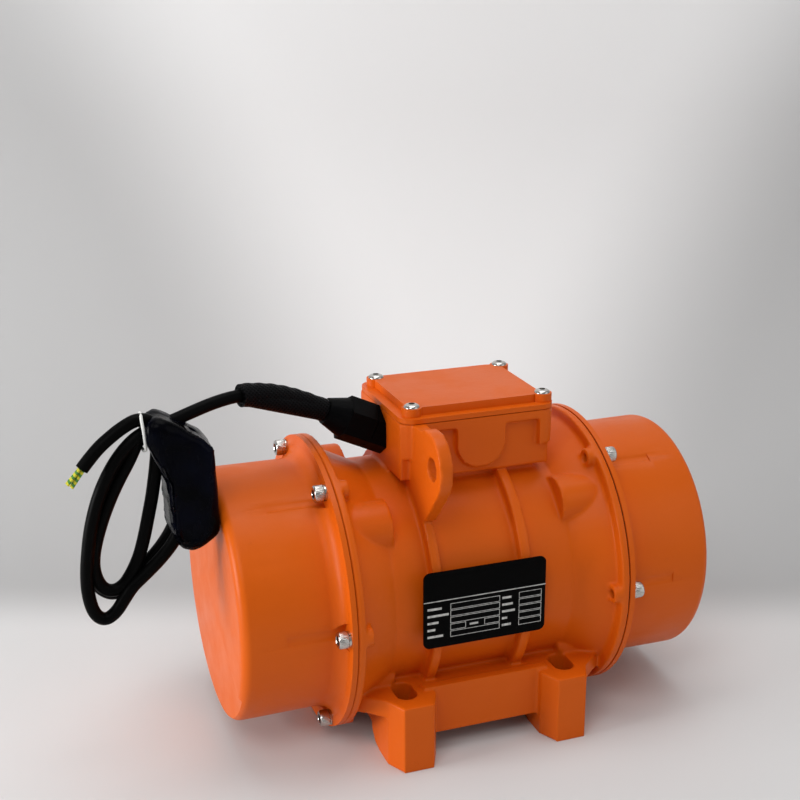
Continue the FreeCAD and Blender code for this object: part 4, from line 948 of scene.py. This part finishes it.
class MOTOR_OT_fasteners(bpy.types.Operator):
    """Make the knurled cover screws, their spring washers and the lid screws"""
    bl_idname = "motor.fasteners"
    bl_label = "Fasteners"

    def execute(self, context):
        settings = context.scene.motor_fasteners
        for word, side in SIDES:
            along = Vector((side, 0, 0))
            low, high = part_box(f"{word}_cover_washers")
            screws = bmesh.new()
            washers = bmesh.new()
            for index, place in enumerate(screw_places(word, side, settings)):
                socket_head(screws, place, along, settings)
                spring_washer(washers, place, along, high.x - low.x, settings, index * 1.7)
            shade(new_piece(f"{word}_cap_screws", screws, "bright_fasteners", ROOT,
                            (f"{word}_cover_screws",)), 35)
            shade(new_piece(f"{word}_spring_washers", washers, "bright_fasteners", ROOT,
                            (f"{word}_cover_washers",)), 35)
        low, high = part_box("lid_screws")
        radius = LID_SCREW_RADIUS
        height = LID_SCREW_HEIGHT
        form = bmesh.new()
        for x in (low.x + radius, high.x - radius):
            for y in (low.y + radius, high.y - radius):
                domed_screw(form, Vector((x, y, high.z - height)), radius, height, LID_SCREW_SOCKET)
        shade(new_piece("lid_button_screws", form, "bright_fasteners", ROOT, ("lid_screws",)), 35)
        return {"FINISHED"}


class MOTOR_OT_gland(bpy.types.Operator):
    """Round the edges of the gland"""
    bl_idname = "motor.gland"
    bl_label = "Gland"

    def execute(self, context):
        edge = context.scene.motor_castings.edge
        softened("gland_shell", "gland_body", "gland_plastic", edge)
        softened("gland_cap", "gland_nut", "gland_plastic", edge)
        return {"FINISHED"}


class MOTOR_OT_surfaces(bpy.types.Operator):
    """Give every CAD part the material of its slot"""
    bl_idname = "motor.surfaces"
    bl_label = "Surfaces"

    def execute(self, context):
        for entry in frame_record["subparts"]:
            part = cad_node(entry["node"])
            part.data.materials.clear()
            part.data.materials.append(material(entry["material_slot"]))
            shade(part, 30)
        return {"FINISHED"}


# ---------------------------------------------------------------- studio


def area_light(name, place, target, size, power):
    """Soft square light aimed at a point."""
    light = bpy.data.lights.new(name, "AREA")
    light.size = size
    light.energy = power
    lamp = bpy.data.objects.new(name, light)
    lamp.location = place
    lamp.rotation_euler = (Vector(target) - Vector(place)).to_track_quat("-Z", "Y").to_euler()
    bpy.context.scene.collection.objects.link(lamp)
    return lamp


def floor_and_wall(settings):
    """Floor that curves up into a backdrop behind the motor."""
    form = bmesh.new()
    yaw = math.radians(settings.yaw)
    back = Vector((math.sin(yaw), math.cos(yaw), 0))
    side = Vector((back.y, -back.x, 0))
    curve = settings.wall_curve
    line = [(-settings.floor_size, 0.0)]
    line += [(settings.wall_distance + curve * math.sin(math.radians(angle)),
              curve * (1 - math.cos(math.radians(angle)))) for angle in range(0, 91, 6)]
    line.append((settings.wall_distance + curve, settings.floor_size))
    rows = []
    for depth, height in line:
        rows.append([form.verts.new(back * depth + side * (settings.floor_size * end) + Vector((0, 0, height)))
                     for end in (-1, 1)])
    for one, two in zip(rows, rows[1:]):
        form.faces.new((one[0], one[1], two[1], two[0]))
    mesh = bpy.data.meshes.new("floor")
    form.to_mesh(mesh)
    form.free()
    floor = bpy.data.objects.new("floor", mesh)
    floor.data.materials.append(floor_with_painted_light(settings))
    bpy.context.scene.collection.objects.link(floor)
    for face in mesh.polygons:
        face.use_smooth = True


class MOTOR_OT_studio(bpy.types.Operator):
    """Set the camera, the floor and the soft lights"""
    bl_idname = "motor.studio"
    bl_label = "Studio"

    def execute(self, context):
        settings = context.scene.motor_studio
        scene = context.scene
        camera = bpy.data.cameras.new("camera")
        camera.lens = settings.lens
        camera.sensor_width = 36
        camera.shift_x, camera.shift_y = settings.shift
        holder = bpy.data.objects.new("camera", camera)
        holder.location = settings.camera_place
        holder.rotation_euler = (math.radians(90 - settings.pitch), 0, math.radians(-settings.yaw))
        scene.collection.objects.link(holder)
        scene.camera = holder
        floor_and_wall(settings)
        target = (0, 0, axis_height())
        for name, place, size, power in LAMPS:
            area_light(name, place, target, size, power)
        world = bpy.data.worlds.new("studio")
        world.use_nodes = True
        world.node_tree.nodes["Background"].inputs["Color"].default_value = (1, 1, 1, 1)
        world.node_tree.nodes["Background"].inputs["Strength"].default_value = WORLD_STRENGTH
        scene.world = world
        scene.view_settings.view_transform = "Standard"
        return {"FINISHED"}


class MOTOR_PT_panel(bpy.types.Panel):
    """Panel with all the steps"""
    bl_idname = "MOTOR_PT_panel"
    bl_label = "Vibration motor"
    bl_space_type = "VIEW_3D"
    bl_region_type = "UI"
    bl_category = "Motor"

    def draw(self, context):
        for operator in STEPS:
            self.layout.operator(operator.bl_idname)


STEPS = (MOTOR_OT_studio, MOTOR_OT_surfaces, MOTOR_OT_cable, MOTOR_OT_castings, MOTOR_OT_fasteners, MOTOR_OT_gland)
SETTINGS = {
    "motor_cable": MotorCableSettings,
    "motor_castings": MotorCastingSettings,
    "motor_fasteners": MotorFastenerSettings,
    "motor_studio": MotorStudioSettings,
}


def register():
    """Add the classes and the scene's settings."""
    for group in SETTINGS.values():
        bpy.utils.register_class(group)
    for name, group in SETTINGS.items():
        setattr(bpy.types.Scene, name, bpy.props.PointerProperty(type=group))
    for step in STEPS:
        bpy.utils.register_class(step)
    bpy.utils.register_class(MOTOR_PT_panel)


def unregister():
    """Take the classes and the settings away again."""
    bpy.utils.unregister_class(MOTOR_PT_panel)
    for step in reversed(STEPS):
        bpy.utils.unregister_class(step)
    for name, group in SETTINGS.items():
        delattr(bpy.types.Scene, name)
        bpy.utils.unregister_class(group)


def main():
    """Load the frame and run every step."""
    global frame_nodes, frame_record
    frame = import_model()
    frame_nodes = frame["nodes"]
    frame_record = frame["record"]
    register()
    for step in STEPS:
        area, name = step.bl_idname.split(".")
        getattr(getattr(bpy.ops, area), name)()


if __name__ == "__main__":
    main()
